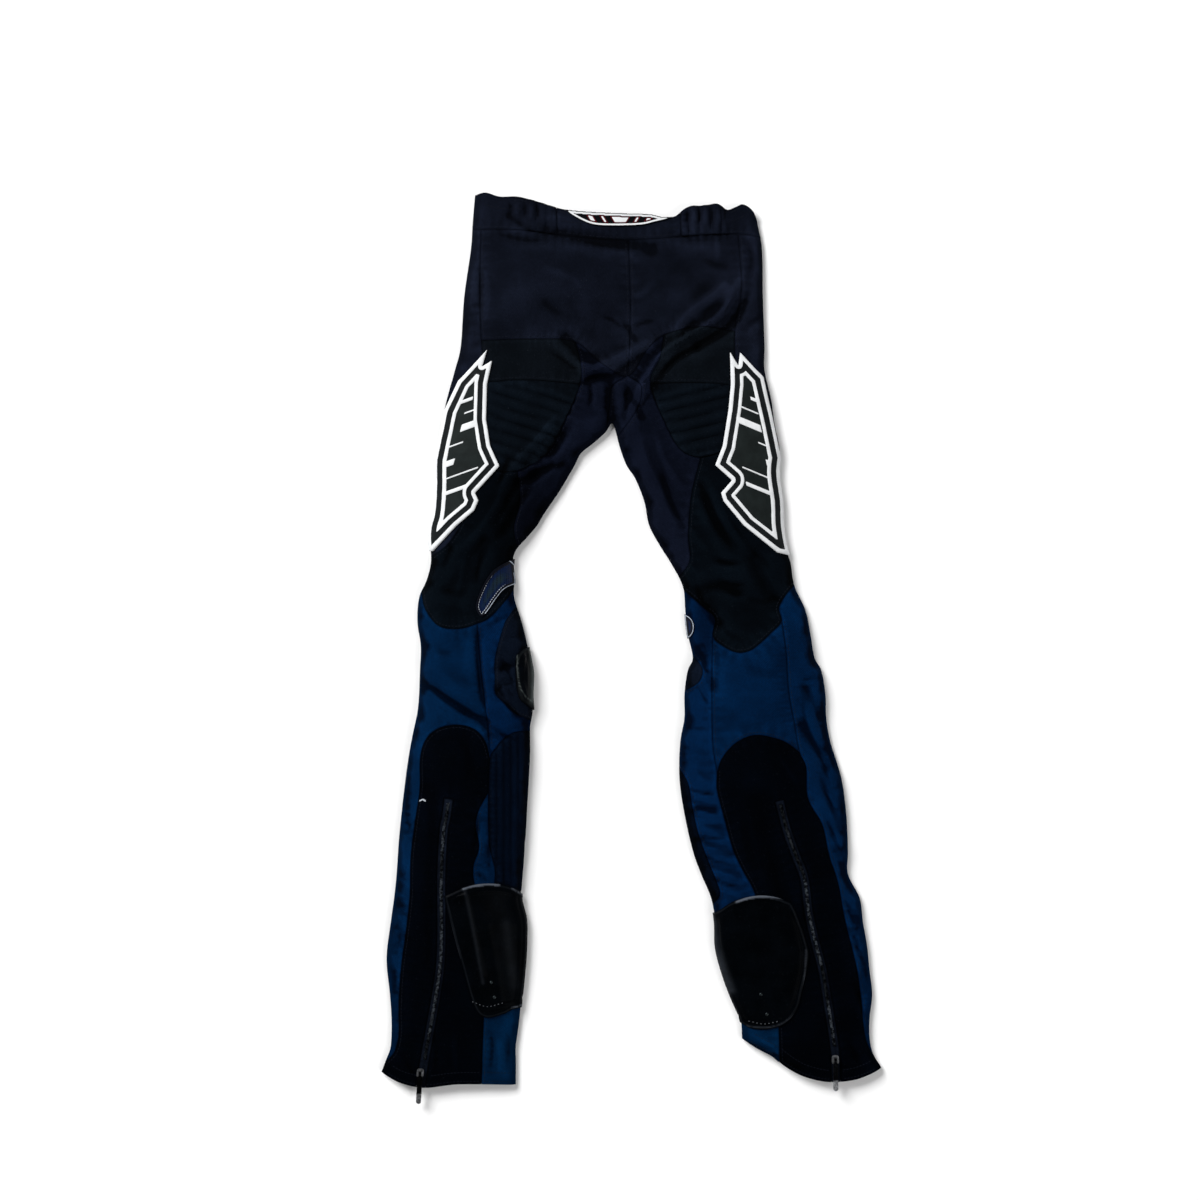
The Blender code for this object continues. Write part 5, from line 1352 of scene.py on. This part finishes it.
def plate_shape(name, verts, away):
    """A moulded plate: a raised border line and raised bars."""
    motif = motif_away(name, *verts.T, away)
    starts, ends = (smoothstep((away - place) / PLATE_SLOPE) for place in PLATE_LINE)
    border = 1.0 - smoothstep((away - PLATE_BORDER) / PLATE_SLOPE)
    extra = PLATE_RISE * np.maximum.reduce([border, starts * (1.0 - ends), smoothstep(motif / PLATE_SLOPE)])
    extra -= PLATE_RISE * np.clip(1.0 - away / PLATE_SLOPE, 0.0, 1.0)
    return extra, {"edge_mm": away, "motif_mm": motif}


def patch_shape(name, verts, away):
    """A woven patch with a thin raised border."""
    motif = motif_away(name, *verts.T, away)
    border = 1.0 - smoothstep((away - PATCH_BORDER) / PATCH_SLOPE)
    extra = 0.35 * border + 0.25 * smoothstep(motif / PATCH_SLOPE)
    return extra, {"edge_mm": away, "motif_mm": motif}


def line_relief(x, y, lines):
    """Rounded ridges and grooves along lines, each with its half width and height."""
    total = np.zeros(len(x))
    for points, width, height in lines:
        away = Near([curve(points, 2.0)]).away(x, y)
        total += height * np.exp(-((away / width) ** 2))
    return total


def guard_shape(name, verts, away):
    """A moulded guard: fold lines, a rolled edge with a groove inside it, and the lines where highlights are
    painted.
    """
    x, y = verts.T
    extra = line_relief(x, y, GUARD_LINES[name])
    extra += 0.7 * np.exp(-(((away - 2.6) / 1.3) ** 2)) - 0.6 * np.exp(-(((away - 5.4) / 0.9) ** 2))
    extra += 0.25 * uneven(x, y, 21.0, 2.2)
    # The painted highlights, passed to the material as motif_mm
    pale = line_relief(x, y, PAINTED_HIGHLIGHTS[name])
    return extra, {"edge_mm": away, "motif_mm": pale}


def pod_shape(name, verts, away):
    """A mesh patch with a bound edge, and a second piece lapped over its end."""
    x, y = verts.T
    _, run, _ = RING_NEAR[name].find(x, y)
    pale = run > POD_RIM[name] * run_along(RINGS[name])[-1]
    lap = np.full(len(x), -FAR_MM)
    if name in POD_LAPS:
        line = curve(POD_LAPS[name], 1.0)
        over = np.interp(y, line[::-1, 1], line[::-1, 0])
        lap = np.where(x > over, 1.0, -1.0) * Near([line]).away(x, y)
    bound = 1.0 - smoothstep((away - 2.6) / 0.8)
    values = {"edge_mm": away, "motif_mm": lap, "rim_mm": np.where(pale, away, FAR_MM)}
    return 0.35 * bound + 0.9 * smoothstep(lap / 0.8), values


def build_overlays():
    """The plates, guards, pods and the patch."""
    shapes = {
        "plate": plate_shape, "guard": guard_shape, "cup": guard_shape, "pod": pod_shape,
        "patch": patch_shape,
    }
    for name, (step, look, sharp) in OVERLAY_LOOKS.items():
        build_overlay(name, step, shapes[look], HARDS[look], sharp)


def round_points(radius, sides):
    """Points round a circle, as pairs."""
    return [(radius * math.cos(a), radius * math.sin(a)) for a in np.arange(sides) * 2 * math.pi / sides]


def spindle(sides=4):
    """A stitch along +X, 1 long and 1 thick: its points and triangles."""
    points = [(-0.5, 0.0, 0.0)]
    for x in (-0.32, 0.32):
        points += [(x, y, z) for y, z in round_points(0.42, sides)]
    points.append((0.5, 0.0, 0.0))
    last = 2 * sides + 1
    faces = []
    for k in range(sides):
        a, b = 1 + k, 1 + (k + 1) % sides
        faces += [(0, b, a), (a, b, b + sides), (a, b + sides, a + sides), (a + sides, b + sides, last)]
    return np.array(points), np.array(faces)


def box_tooth():
    """A zip tooth along +X, rounded at its top, 1 by 1 by 1: its points and triangles."""
    low = [(-0.5, -0.5, 0.0), (0.5, -0.5, 0.0), (0.5, 0.5, 0.0), (-0.5, 0.5, 0.0)]
    mid = [(x, y, 0.6) for x, y, _ in low]
    top = [(x * 0.66, y * 0.6, 1.0) for x, y, _ in low]
    faces = [(0, 2, 1), (0, 3, 2), (8, 9, 10), (8, 10, 11)]
    for base in (0, 4):
        for k in range(4):
            a, b = base + k, base + (k + 1) % 4
            faces += [(a, b, b + 4), (a, b + 4, a + 4)]
    return np.array(low + mid + top), np.array(faces)


def scatter(name, unit, places, directions, sizes, finish):
    """Copies of one small form along the cloth, as one piece."""
    points, faces = unit
    places, directions = np.array(places, float), np.array(directions, float)
    directions /= np.linalg.norm(directions, axis=1)[:, None]
    up = np.array([0.0, 0.0, 1.0])
    side = np.cross(up, directions)
    side /= np.linalg.norm(side, axis=1)[:, None]
    lift = np.cross(directions, side)
    sizes = np.broadcast_to(np.array(sizes, float), (len(places), 3))
    axes = np.stack([directions, side, lift], axis=1)
    all_points = (places[:, None, :] + np.einsum("pk,nk,nkc->npc", points, sizes, axes)).reshape(-1, 3)
    offsets = np.arange(len(places))[:, None, None] * len(points)
    all_faces = (faces[None] + offsets).reshape(-1, 3)
    settle(add_mesh(name, all_points, all_faces, finish), None)


def stitch_row(line, pitch, cover=0.72):
    """The middles and directions of the stitches along a line on the cloth."""
    marks = curve(line, pitch / 2.0, smooth=False)
    if len(marks) < 4:
        return np.zeros((0, 3)), np.zeros((0, 3))
    middles, before, after = marks[1::2], marks[:-1:2], marks[2::2]
    count = min(len(middles), len(before), len(after))
    middles, before, after = middles[:count], before[:count], after[:count]
    heights = [surface(*p.T) for p in (before, middles, after)]
    run = np.column_stack([after - before, heights[2] - heights[0]])
    return np.column_stack([middles, heights[1]]), run * cover


def build_topstitching(seam_lines):
    """Rows of stitches beside the seams and the hems."""
    rows = [
        line + across_line(line) * offset
        for name, line in seam_lines.items() for offset in STITCH_OFFSETS.get(name, (STITCH_AWAY,))
    ]
    hems = [line for closed, line in LOOP if not closed]
    rows += [line[2:-2] - across_line(line)[2:-2] * depth for line in hems for depth in HEM_ROWS]
    places, runs = [], []
    for row in rows:
        spots, run = stitch_row(row, STITCH_PITCH)
        if not len(spots):
            continue
        flat = spots[:, :2]
        keep = within(flat, BOUNDARY) & (SIDE_NEAR.away(*flat.T) > 3.0)
        keep &= SEAM_NEAR.away(*flat.T) > STITCH_AWAY - 0.9
        keep &= under_overlays(*flat.T) < 0.05
        keep &= np.linalg.norm(run, axis=1) < 2.0 * STITCH_PITCH
        places.append(spots[keep] + (0.0, 0.0, STITCH_LIFT))
        runs.append(run[keep])
    places, runs = np.vstack(places), np.vstack(runs)
    lengths = np.linalg.norm(runs, axis=1)
    sizes = np.column_stack([lengths, np.full((len(runs), 2), (STITCH_BREADTH, STITCH_HEIGHT))])
    scatter("topstitching", spindle(), places, runs, sizes, THREADS["navy"])


def build_zips():
    """The zips' teeth, in two rows that mesh, from the top stop to the slider."""
    for name, points in ZIPS.items():
        side_name = name.split("_")[1]
        middle = curve(points, TOOTH_PITCH / 2.0)
        bottom, top = PULL_PIVOTS[side_name][1] + 16.0, points[0][1] - 4.0
        middle = middle[(middle[:, 1] > bottom) & (middle[:, 1] < top)]
        parity = np.where(np.arange(len(middle)) % 2 == 0, 1.0, -1.0)[:, None]
        out = across_line(middle) * parity
        places = on_cloth(middle + out * TOOTH_OUT, TOOTH_LIFT)
        directions = np.column_stack([out, np.zeros(len(out))])
        scatter(
            f"zip_teeth_{side_name}", box_tooth(), places, directions, TOOTH_SIZE,
            METALS["teeth"],
        )


def on_cloth(flat, lift, smooth=False):
    """Places at a height above the cloth."""
    return np.column_stack([flat, surface(*flat.T, smooth) + lift])


def build_trims():
    """Rivets, stitch dots, pod stitching and the bar tack."""
    places = on_cloth(np.array(RIVETS), LIFT + RIVET_LIFT, smooth=True)
    along = [(1, 0, 0)] * len(places)
    scatter("guard_rivets", rivet(), places, along, RIVET_SIZE, METALS["rivet"])
    lines = [curve(line, DOT_PITCH) for line in DOTS]
    places = np.vstack([on_cloth(line, LIFT + DOT_LIFT, smooth=True) for line in lines])
    runs = np.vstack([np.gradient(line, axis=0) for line in lines])
    runs = np.column_stack([runs, np.zeros(len(runs))])
    scatter("guard_stitches", spindle(), places, runs, DOT_SIZE, THREADS["grey"])
    places, runs = [], []
    for ring in (RINGS["pod_left"], RINGS["pod_right"]):
        row = ring - across_line(ring) * POD_STITCH_IN
        if not within(row[len(row) // 2][None], ring)[0]:
            row = ring + across_line(ring) * POD_STITCH_IN
        spots, run = stitch_row(row, POD_STITCH_PITCH, 0.8)
        flat = spots[:, :2]
        keep = within(flat, BOUNDARY) & within(flat, ring) & (SIDE_NEAR.away(*flat.T) > 1.5)
        places.append(spots[keep] + (0.0, 0.0, LIFT + POD_STITCH_LIFT))
        runs.append(run[keep])
    places, runs = np.vstack(places), np.vstack(runs)
    scatter("pod_stitches", spindle(), places, runs, POD_STITCH_SIZE, THREADS["white"])
    places = on_cloth(curve(TACK, TACK_PITCH), TACK_LIFT)
    runs = np.tile((0.25, 1.0, 0.0), (len(places), 1))
    scatter("bar_tack", spindle(), places, runs, TACK_SIZE, THREADS["white"])


def rivet(sides=16):
    """A domed rivet head, 1 across and 1 high: its points and triangles."""
    points, faces = [], []
    levels = [(0.5, 0.0), (0.5, 0.35), (0.4, 0.75), (0.2, 0.96)]
    for radius, z in levels:
        points += [(x, y, z) for x, y in round_points(radius, sides)]
    points += [(0.0, 0.0, 1.0), (0.0, 0.0, 0.0)]
    top, low = len(points) - 2, len(points) - 1
    for level in range(len(levels) - 1):
        for k in range(sides):
            a, b = level * sides + k, level * sides + (k + 1) % sides
            faces += [(a, b, b + sides), (a, b + sides, a + sides)]
    last = (len(levels) - 1) * sides
    for k in range(sides):
        faces += [(last + k, last + (k + 1) % sides, top), ((k + 1) % sides, k, low)]
    return np.array(points), np.array(faces)


def tone(red, green, blue, own=1.0):
    """A colour of the screen's scale, 0 to 255, as a shader's colour; own is the share kept of it."""
    shares = (c / 255.0 for c in (red, green, blue))
    linear = (c / 12.92 if c <= 0.04045 else ((c + 0.055) / 1.055) ** 2.4 for c in shares)
    return tuple(own * c for c in linear) + (1.0,)


class Nodes:
    """A material's nodes, made and joined in one step each."""

    def __init__(self, name, colour, roughness, specular):
        self.material = bpy.data.materials.new(name)
        self.material.use_nodes = True
        self.tree = self.material.node_tree
        self.shader = self.tree.nodes["Principled BSDF"]
        self.material.diffuse_color = colour
        self.colour = colour
        self.shader.inputs["Roughness"].default_value = roughness
        self.shader.inputs["Specular IOR Level"].default_value = specular
        self.place = self.add("ShaderNodeTexCoord").outputs["Object"]

    def add(self, kind, inputs=(), **settings):
        node = self.tree.nodes.new(kind)
        for key, value in settings.items():
            setattr(node, key, value)
        for key, value in dict(inputs).items():
            if isinstance(value, bpy.types.NodeSocket):
                self.tree.links.new(value, node.inputs[key])
            else:
                node.inputs[key].default_value = value
        return node

    def math(self, operation, a, b=0.0, c=0.0, clamp=False):
        inputs = {0: a, 1: b, 2: c}
        return self.add("ShaderNodeMath", inputs, operation=operation, use_clamp=clamp).outputs[0]

    def times(self, a, b):
        return self.math("MULTIPLY", a, b)

    def band(self, value, starts, full, ends, gone):
        """1 from full to ends, fading to 0 at starts and gone."""
        return self.times(self.remap(value, starts, full), self.remap(value, ends, gone, 1.0, 0.0))

    def remap(self, value, low, high, to_low=0.0, to_high=1.0):
        return self.add(
            "ShaderNodeMapRange", {0: value, 1: low, 2: high, 3: to_low, 4: to_high},
            interpolation_type="SMOOTHSTEP",
        ).outputs[0]

    def mix(self, share, a, b):
        return self.add("ShaderNodeMix", {0: share, 6: a, 7: b}, data_type="RGBA").outputs[2]

    def noise(self, size_mm, detail=2.0, seed=0.0):
        moved = self.add("ShaderNodeMapping", {"Vector": self.place, "Location": (seed, seed * 0.7, 0.0)})
        return self.add(
            "ShaderNodeTexNoise",
            {"Vector": moved.outputs[0], "Scale": 1000.0 / size_mm, "Detail": detail, "Roughness": 0.55},
        ).outputs["Fac"]

    def wave(self, pitch_mm, turn, distortion=0.0, profile="SIN"):
        turned = self.add("ShaderNodeMapping", {"Vector": self.place, "Rotation": (0.0, 0.0, turn)})
        return self.add(
            "ShaderNodeTexWave",
            {
                "Vector": turned.outputs[0], "Scale": WAVE_SCALE / pitch_mm, "Distortion": distortion,
                "Detail": 1.0, "Detail Scale": 0.4,
            },
            wave_type="BANDS", bands_direction="X", wave_profile=profile,
        ).outputs["Fac"]

    def value(self, name):
        return self.add("ShaderNodeAttribute", attribute_name=name, attribute_type="GEOMETRY").outputs["Fac"]

    def scaled(self, colour, share):
        colour = colour[:3] if isinstance(colour, tuple) else colour
        return self.add("ShaderNodeVectorMath", {0: colour, "Scale": share}, operation="SCALE").outputs[0]

    def paint(self, colour):
        self.tree.links.new(colour, self.shader.inputs["Base Color"])

    def bump(self, height, distance_mm, strength=0.6):
        inputs = {"Height": height, "Strength": strength, "Distance": distance_mm / 1000.0}
        bumped = self.add("ShaderNodeBump", inputs).outputs[0]
        self.tree.links.new(bumped, self.shader.inputs["Normal"])


def cloth_look(name, colour, pitch, turn, twill=0.0, specular=0.02, sheen=0.012, wear=0.4, patchy=0.16,
               rib_light=0.0, seam_light=0.72):
    """A woven cloth: threads both ways or a twill, uneven dye, lint, wear beside its seams, and painted
    light and shade on its folds, ribs, seam lines and shaded stretches.
    """
    n = Nodes(name, colour, 0.9, specular)
    n.shader.inputs["Sheen Weight"].default_value = sheen
    n.shader.inputs["Sheen Roughness"].default_value = 0.5
    n.shader.inputs["Sheen Tint"].default_value = tone(*SHEEN_TINT)
    warp = n.wave(pitch, turn)
    weft = n.wave(pitch * 1.12, turn + math.pi / 2.0)
    weave = n.times(warp, weft)
    if twill:
        lines = n.wave(pitch * 2.2, turn + twill)
        weave = n.math("MULTIPLY_ADD", lines, 0.65, n.times(weave, 0.5))
    clouds = (n.noise(34.0, 3.0), n.noise(90.0, 2.0, 0.17))
    dye = n.times(*(n.remap(cloud, 0.3, 0.7, 1.0 - patchy, 1.0 + patchy) for cloud in clouds))
    fine = n.remap(n.noise(2.1, 2.0, 0.3), 0.2, 0.8, 0.82, 1.18)
    thread = n.math("MULTIPLY_ADD", weave, 0.5, 0.78)
    share = n.times(n.times(dye, fine), thread)
    seam = n.value("seam_mm")
    worn = n.times(n.band(seam, 0.6, 1.6, 2.2, 6.5), n.remap(n.noise(9.0, 3.0, 0.9), 0.35, 0.75, 0.15, 1.0))
    share = n.times(share, n.math("MULTIPLY_ADD", worn, wear, 1.0))
    # Right at the seam line the cloth is darkened as painted shade in the seam groove; a seam_light above 1
    # lightens it instead
    share = n.times(share, n.remap(seam, 0.0, 1.0, seam_light, 1.0))
    # Painted light on the rib crests and painted shade in their troughs
    if rib_light:
        share = n.times(share, n.math("MULTIPLY_ADD", n.value("rib"), rib_light, 1.0 - rib_light))
    # Painted light and shade: ridges of the cloth are lightened and troughs darkened, as light and shade
    # would fall on them
    ridge = n.remap(n.value("fold_mm"), 0.0, 1.1, 1.0, FOLD_PAINTED_LIGHT)
    trough = n.remap(n.value("fold_mm"), -1.1, 0.0, FOLD_PAINTED_SHADE, 1.0)
    share = n.times(share, n.times(ridge, trough))
    # Painted shade: the cloth is darkened over the given stretches of shade
    share = n.times(share, n.math("SUBTRACT", 1.0, n.value("tarnish_and_painted_shade")))
    lint = n.remap(n.noise(1.3, 1.0, 1.7), 0.745, 0.80)
    n.paint(n.mix(n.times(lint, LINT_SHARE), n.scaled(colour, share), tone(*LINT)))
    fuzz = n.math("MULTIPLY_ADD", n.noise(1.6, 2.0, 2.3), 0.6, weave)
    n.bump(fuzz, 0.22, 0.55)
    return n.material


def plate_look():
    """A soft moulded plate: white border, line and bars on a near-black ground."""
    n = Nodes("plate_moulded", tone(*PLATE_DARK), 0.62, 0.06)
    edge, motif = n.value("edge_mm"), n.value("motif_mm")
    wobble = n.math("MULTIPLY_ADD", n.noise(7.0, 2.0), 0.5, -0.25)
    edge = n.math("ADD", edge, wobble)
    border = n.remap(edge, 4.2, 4.6, 1.0, 0.0)
    line = n.band(edge, 10.4, 10.8, 14.3, 14.7)
    white = n.math("MAXIMUM", n.math("MAXIMUM", border, line), n.remap(motif, -0.2, 0.2))
    grime = n.remap(n.noise(11.0, 4.0, 0.5), 0.3, 0.75, 1.0, 0.86)
    specks = n.remap(n.noise(1.1, 1.0, 3.1), 0.74, 0.8, 1.0, 0.7)
    pale = n.scaled(tone(*PLATE_WHITE, WHITE_OWN), n.times(grime, specks))
    ground = n.mix(n.remap(edge, 10.6, 14.3), tone(*PLATE_BAND, OWN), tone(*PLATE_DARK, OWN))
    ground = n.scaled(ground, n.remap(n.noise(16.0, 3.0, 1.1), 0.3, 0.7, 0.8, 1.25))
    n.paint(n.mix(white, ground, pale))
    n.bump(n.math("ADD", n.noise(0.9, 2.0), n.noise(4.0, 2.0, 0.6)), 0.16, 0.5)
    return n.material


def patch_look():
    """A woven patch: white rim, black ground, and white bars with a thin red edge."""
    n = Nodes("patch_woven", tone(*PATCH_BLACK), 0.8, 0.03)
    edge, motif = n.value("edge_mm"), n.value("motif_mm")
    rim = n.band(edge, 0.7, 1.0, 2.7, 3.0)
    bar = n.remap(motif, -0.1, 0.2)
    red = n.times(n.band(motif, -1.3, -1.1, -0.5, -0.3), n.remap(edge, 3.4, 3.8))
    thread = n.math("MULTIPLY_ADD", n.wave(0.55, 0.0), 0.3, 0.78)
    ground = n.mix(n.times(red, 0.8), tone(*PATCH_BLACK, OWN), tone(*PATCH_RED, OWN))
    painted = n.mix(n.math("MAXIMUM", rim, bar), ground, tone(*PLATE_WHITE, WHITE_OWN))
    n.paint(n.scaled(painted, thread))
    n.bump(n.wave(0.55, 0.0), 0.2, 0.6)
    return n.material


def guard_look(name, colour, roughness, specular, edge_light):
    """A moulded plastic guard: smooth, with painted highlights along its edge and its fold lines, and small
    scuffs.
    """
    n = Nodes(name, colour, roughness, specular)
    edge, painted_highlight = n.value("edge_mm"), n.value("motif_mm")
    scuffs = n.remap(n.noise(2.4, 5.0, 0.8), 0.58, 0.75)
    # Painted highlight: a faint line along the edge and the given highlight lines, with real scuffs added
    pale = n.math("MULTIPLY_ADD", n.band(edge, 0.4, 1.6, 2.2, 3.6), 0.05, painted_highlight)
    pale = n.times(pale, n.remap(n.noise(14.0, 3.0, 0.4), 0.3, 0.7, 0.7, 1.1))
    pale = n.math("ADD", pale, n.times(scuffs, 0.03), clamp=True)
    cloudy = n.remap(n.noise(26.0, 3.0, 1.9), 0.3, 0.7, 0.7, 1.35)
    n.paint(n.mix(pale, n.scaled(colour, cloudy), edge_light))
    grain = n.math("MULTIPLY_ADD", n.noise(0.7, 1.0), 0.25, n.noise(3.2, 4.0, 1.2))
    n.bump(grain, 0.12, 0.5)
    return n.material


def pod_look():
    """A blue mesh patch with small holes, a navy border and a thin pale bound edge."""
    n = Nodes("pod_mesh", tone(*POD_BLUE), 0.6, 0.06)
    holes = n.add("ShaderNodeTexVoronoi", {"Vector": n.place, "Scale": 1000.0 / 2.2, "Randomness": 0.12})
    pit = n.remap(holes.outputs["Distance"], 0.2, 0.42)
    edge, lap, rim = n.value("edge_mm"), n.value("motif_mm"), n.value("rim_mm")
    line = n.band(rim, 0.2, 0.4, 0.9, 1.2)
    fold = n.band(lap, 0.2, 0.5, 1.1, 1.4)
    middle = n.times(n.remap(edge, 5.0, 10.0), n.remap(n.noise(16.0, 3.0), 0.25, 0.6))
    ground = n.mix(middle, tone(*POD_BLUE, OWN), tone(*POD_GREY, OWN))
    ground = n.mix(n.remap(edge, 2.4, 4.0), tone(*POD_NAVY, OWN), ground)
    ground = n.scaled(ground, n.math("MULTIPLY_ADD", pit, 0.8, 0.2))
    pale = n.scaled(tone(*POD_WHITE, WHITE_OWN), n.remap(n.noise(5.0, 2.0, 0.8), 0.3, 0.7, 0.6, 1.0))
    n.paint(n.mix(n.math("MAXIMUM", line, fold), ground, pale))
    n.bump(pit, 0.35, 0.8)
    return n.material


def thread_look(name, colour):
    """Sewing thread: fine twisted strands."""
    n = Nodes(name, colour, 0.75, 0.08)
    strands = n.wave(0.35, 0.6, 2.0)
    n.paint(n.scaled(colour, n.math("MULTIPLY_ADD", strands, 0.5, 0.7)))
    n.bump(strands, 0.06, 0.6)
    return n.material


def metal_look(name, colour, roughness, dark=None, tarnish=0.55, patchy=1.0):
    """Plated zip metal: fine scratches and tarnish; dark is painted above a level of the pull."""
    n = Nodes(name, colour, roughness, 0.5)
    n.shader.inputs["Metallic"].default_value = 1.0
    tarnish_and_painted_shade = n.remap(n.noise(2.9, 2.0), 0.42, 0.6, tarnish, 1.1)
    tarnish_and_painted_shade = n.times(tarnish_and_painted_shade, n.remap(n.noise(46.0, 1.0, 0.9), 0.42, 0.6, patchy, 1.0))
    painted = n.scaled(colour, tarnish_and_painted_shade)
    if dark:
        low, high = dark
        along = n.add("ShaderNodeSeparateXYZ", {0: n.place}).outputs["Y"]
        ground = n.scaled(tone(*PULL_DARK), tarnish_and_painted_shade)
        painted = n.mix(n.remap(along, low, high), painted, ground)
    n.paint(painted)
    n.bump(n.noise(0.8, 3.0, 0.7), 0.05, 0.5)
    return n.material


def floor_look():
    """A plain matt pale floor."""
    n = Nodes("floor_paper", FLOOR_WHITE, 0.9, 0.1)
    n.paint(n.scaled(FLOOR_WHITE, n.remap(n.noise(180.0, 2.0), 0.3, 0.7, 0.995, 1.005)))
    return n.material


SIDES = side_lines()
LOOP = silhouette()
SIDE_NEAR = Near(SIDES)
RINGS = {
    name: curve(points + points[:1], 1.5, smooth=name not in SHARP) for name, points in OUTLINES.items()
}
RING_NEAR = {name: Near([ring]) for name, ring in RINGS.items()}
BOUNDARY = np.vstack([line[:-1] for _, line in LOOP])

CLOTHS = {
    key: cloth_look(name, tone(*colour, OWN), pitch, turn, **own)
    for key, (name, colour, pitch, turn, own) in CLOTH_LOOKS.items()
}
HARDS = {
    "plate": plate_look(),
    "patch": patch_look(),
    "guard": guard_look("guard_moulded", tone(*GUARD_BLACK, OWN), 0.26, 0.006, tone(*GUARD_HIGHLIGHT, OWN)),
    "cup": guard_look("cup_moulded", tone(*CUP_BLACK, OWN), 0.26, 0.008, tone(*CUP_HIGHLIGHT, OWN)),
    "pod": pod_look(),
}
THREADS = {
    "navy": thread_look("thread_navy", tone(*THREAD_NAVY, OWN)),
    "white": thread_look("thread_white", tone(*THREAD_WHITE, WHITE_OWN)),
    "grey": thread_look("thread_grey", tone(*THREAD_GREY, OWN)),
}
METALS = {
    "teeth": metal_look("zip_teeth_metal", tone(*TEETH_METAL), 0.35, tarnish=0.03, patchy=0.25),
    "rivet": metal_look("rivet_metal", tone(*RIVET_METAL), 0.45),
    "slider": metal_look("zip_slider_metal", tone(*SLIDER_METAL), 0.3),
}

seam_lines = build_upper()
build_tray()
build_overlays()
build_topstitching(seam_lines)
build_zips()
build_trims()

for side, (_, pivot_y) in PULL_PIVOTS.items():
    along = (pivot_y - CENTRE_Y) / 1000.0
    dark = (along - PULL_PLAIN_FROM, along - PULL_DARK_TO)
    pull = metal_look(f"zip_pull_metal_{side}", tone(*PULL_METAL), 0.28, dark=dark)
    for node, look in ((f"zip_slider_{side}", METALS["slider"]), (f"zip_pull_{side}", pull)):
        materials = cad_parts[node].data.materials
        materials.clear()
        materials.append(look)


def add_light(name, place, size, watts):
    """A soft square light, turned to the garment."""
    data = bpy.data.lights.new(name, "AREA")
    data.shape, data.size, data.energy = "SQUARE", size, watts
    light = bpy.data.objects.new(name, data)
    light.location = place
    light.visible_camera = False
    light.rotation_euler = (-Vector(place)).to_track_quat("-Z", "Y").to_euler()
    bpy.context.scene.collection.objects.link(light)


def set_stage():
    """A pale floor, two soft lights and an even room."""
    mesh = bpy.data.meshes.new("floor")
    corners = [(-1, -1), (1, -1), (1, 1), (-1, 1)]
    corners = [(FLOOR_HALF * x, FLOOR_HALF * y, -FLOOR_GAP) for x, y in corners]
    mesh.from_pydata(corners, [], [(0, 1, 2, 3)])
    mesh.materials.append(floor_look())
    floor = bpy.data.objects.new("floor", mesh)
    bpy.context.scene.collection.objects.link(floor)
    for name, (place, size, watts) in LIGHTS.items():
        add_light(name, place, size, watts)
    world = bpy.data.worlds.new("room")
    world.use_nodes = True
    nodes, links = world.node_tree.nodes, world.node_tree.links
    place = nodes.new("ShaderNodeTexCoord")
    split = nodes.new("ShaderNodeSeparateXYZ")
    ramp = nodes.new("ShaderNodeMapRange")
    ramp.interpolation_type = "SMOOTHSTEP"
    nodes["Background"].inputs["Color"].default_value = (1.0, 1.0, 1.0, 1.0)
    for index, value in ROOM_RAMP.items():
        ramp.inputs[index].default_value = value
    links.new(place.outputs["Generated"], split.inputs[0])
    links.new(split.outputs["Z"], ramp.inputs[0])
    links.new(ramp.outputs[0], nodes["Background"].inputs["Strength"])
    bpy.context.scene.world = world


def set_camera():
    """A camera straight above the garment, as in the photograph."""
    data = bpy.data.cameras.new("camera")
    data.lens, data.sensor_width = CAMERA_LENS, CAMERA_SENSOR
    camera = bpy.data.objects.new("camera", data)
    camera.location = CAMERA_PLACE
    bpy.context.scene.collection.objects.link(camera)
    bpy.context.scene.camera = camera


set_stage()
set_camera()
bpy.context.scene.view_settings.view_transform = "Standard"
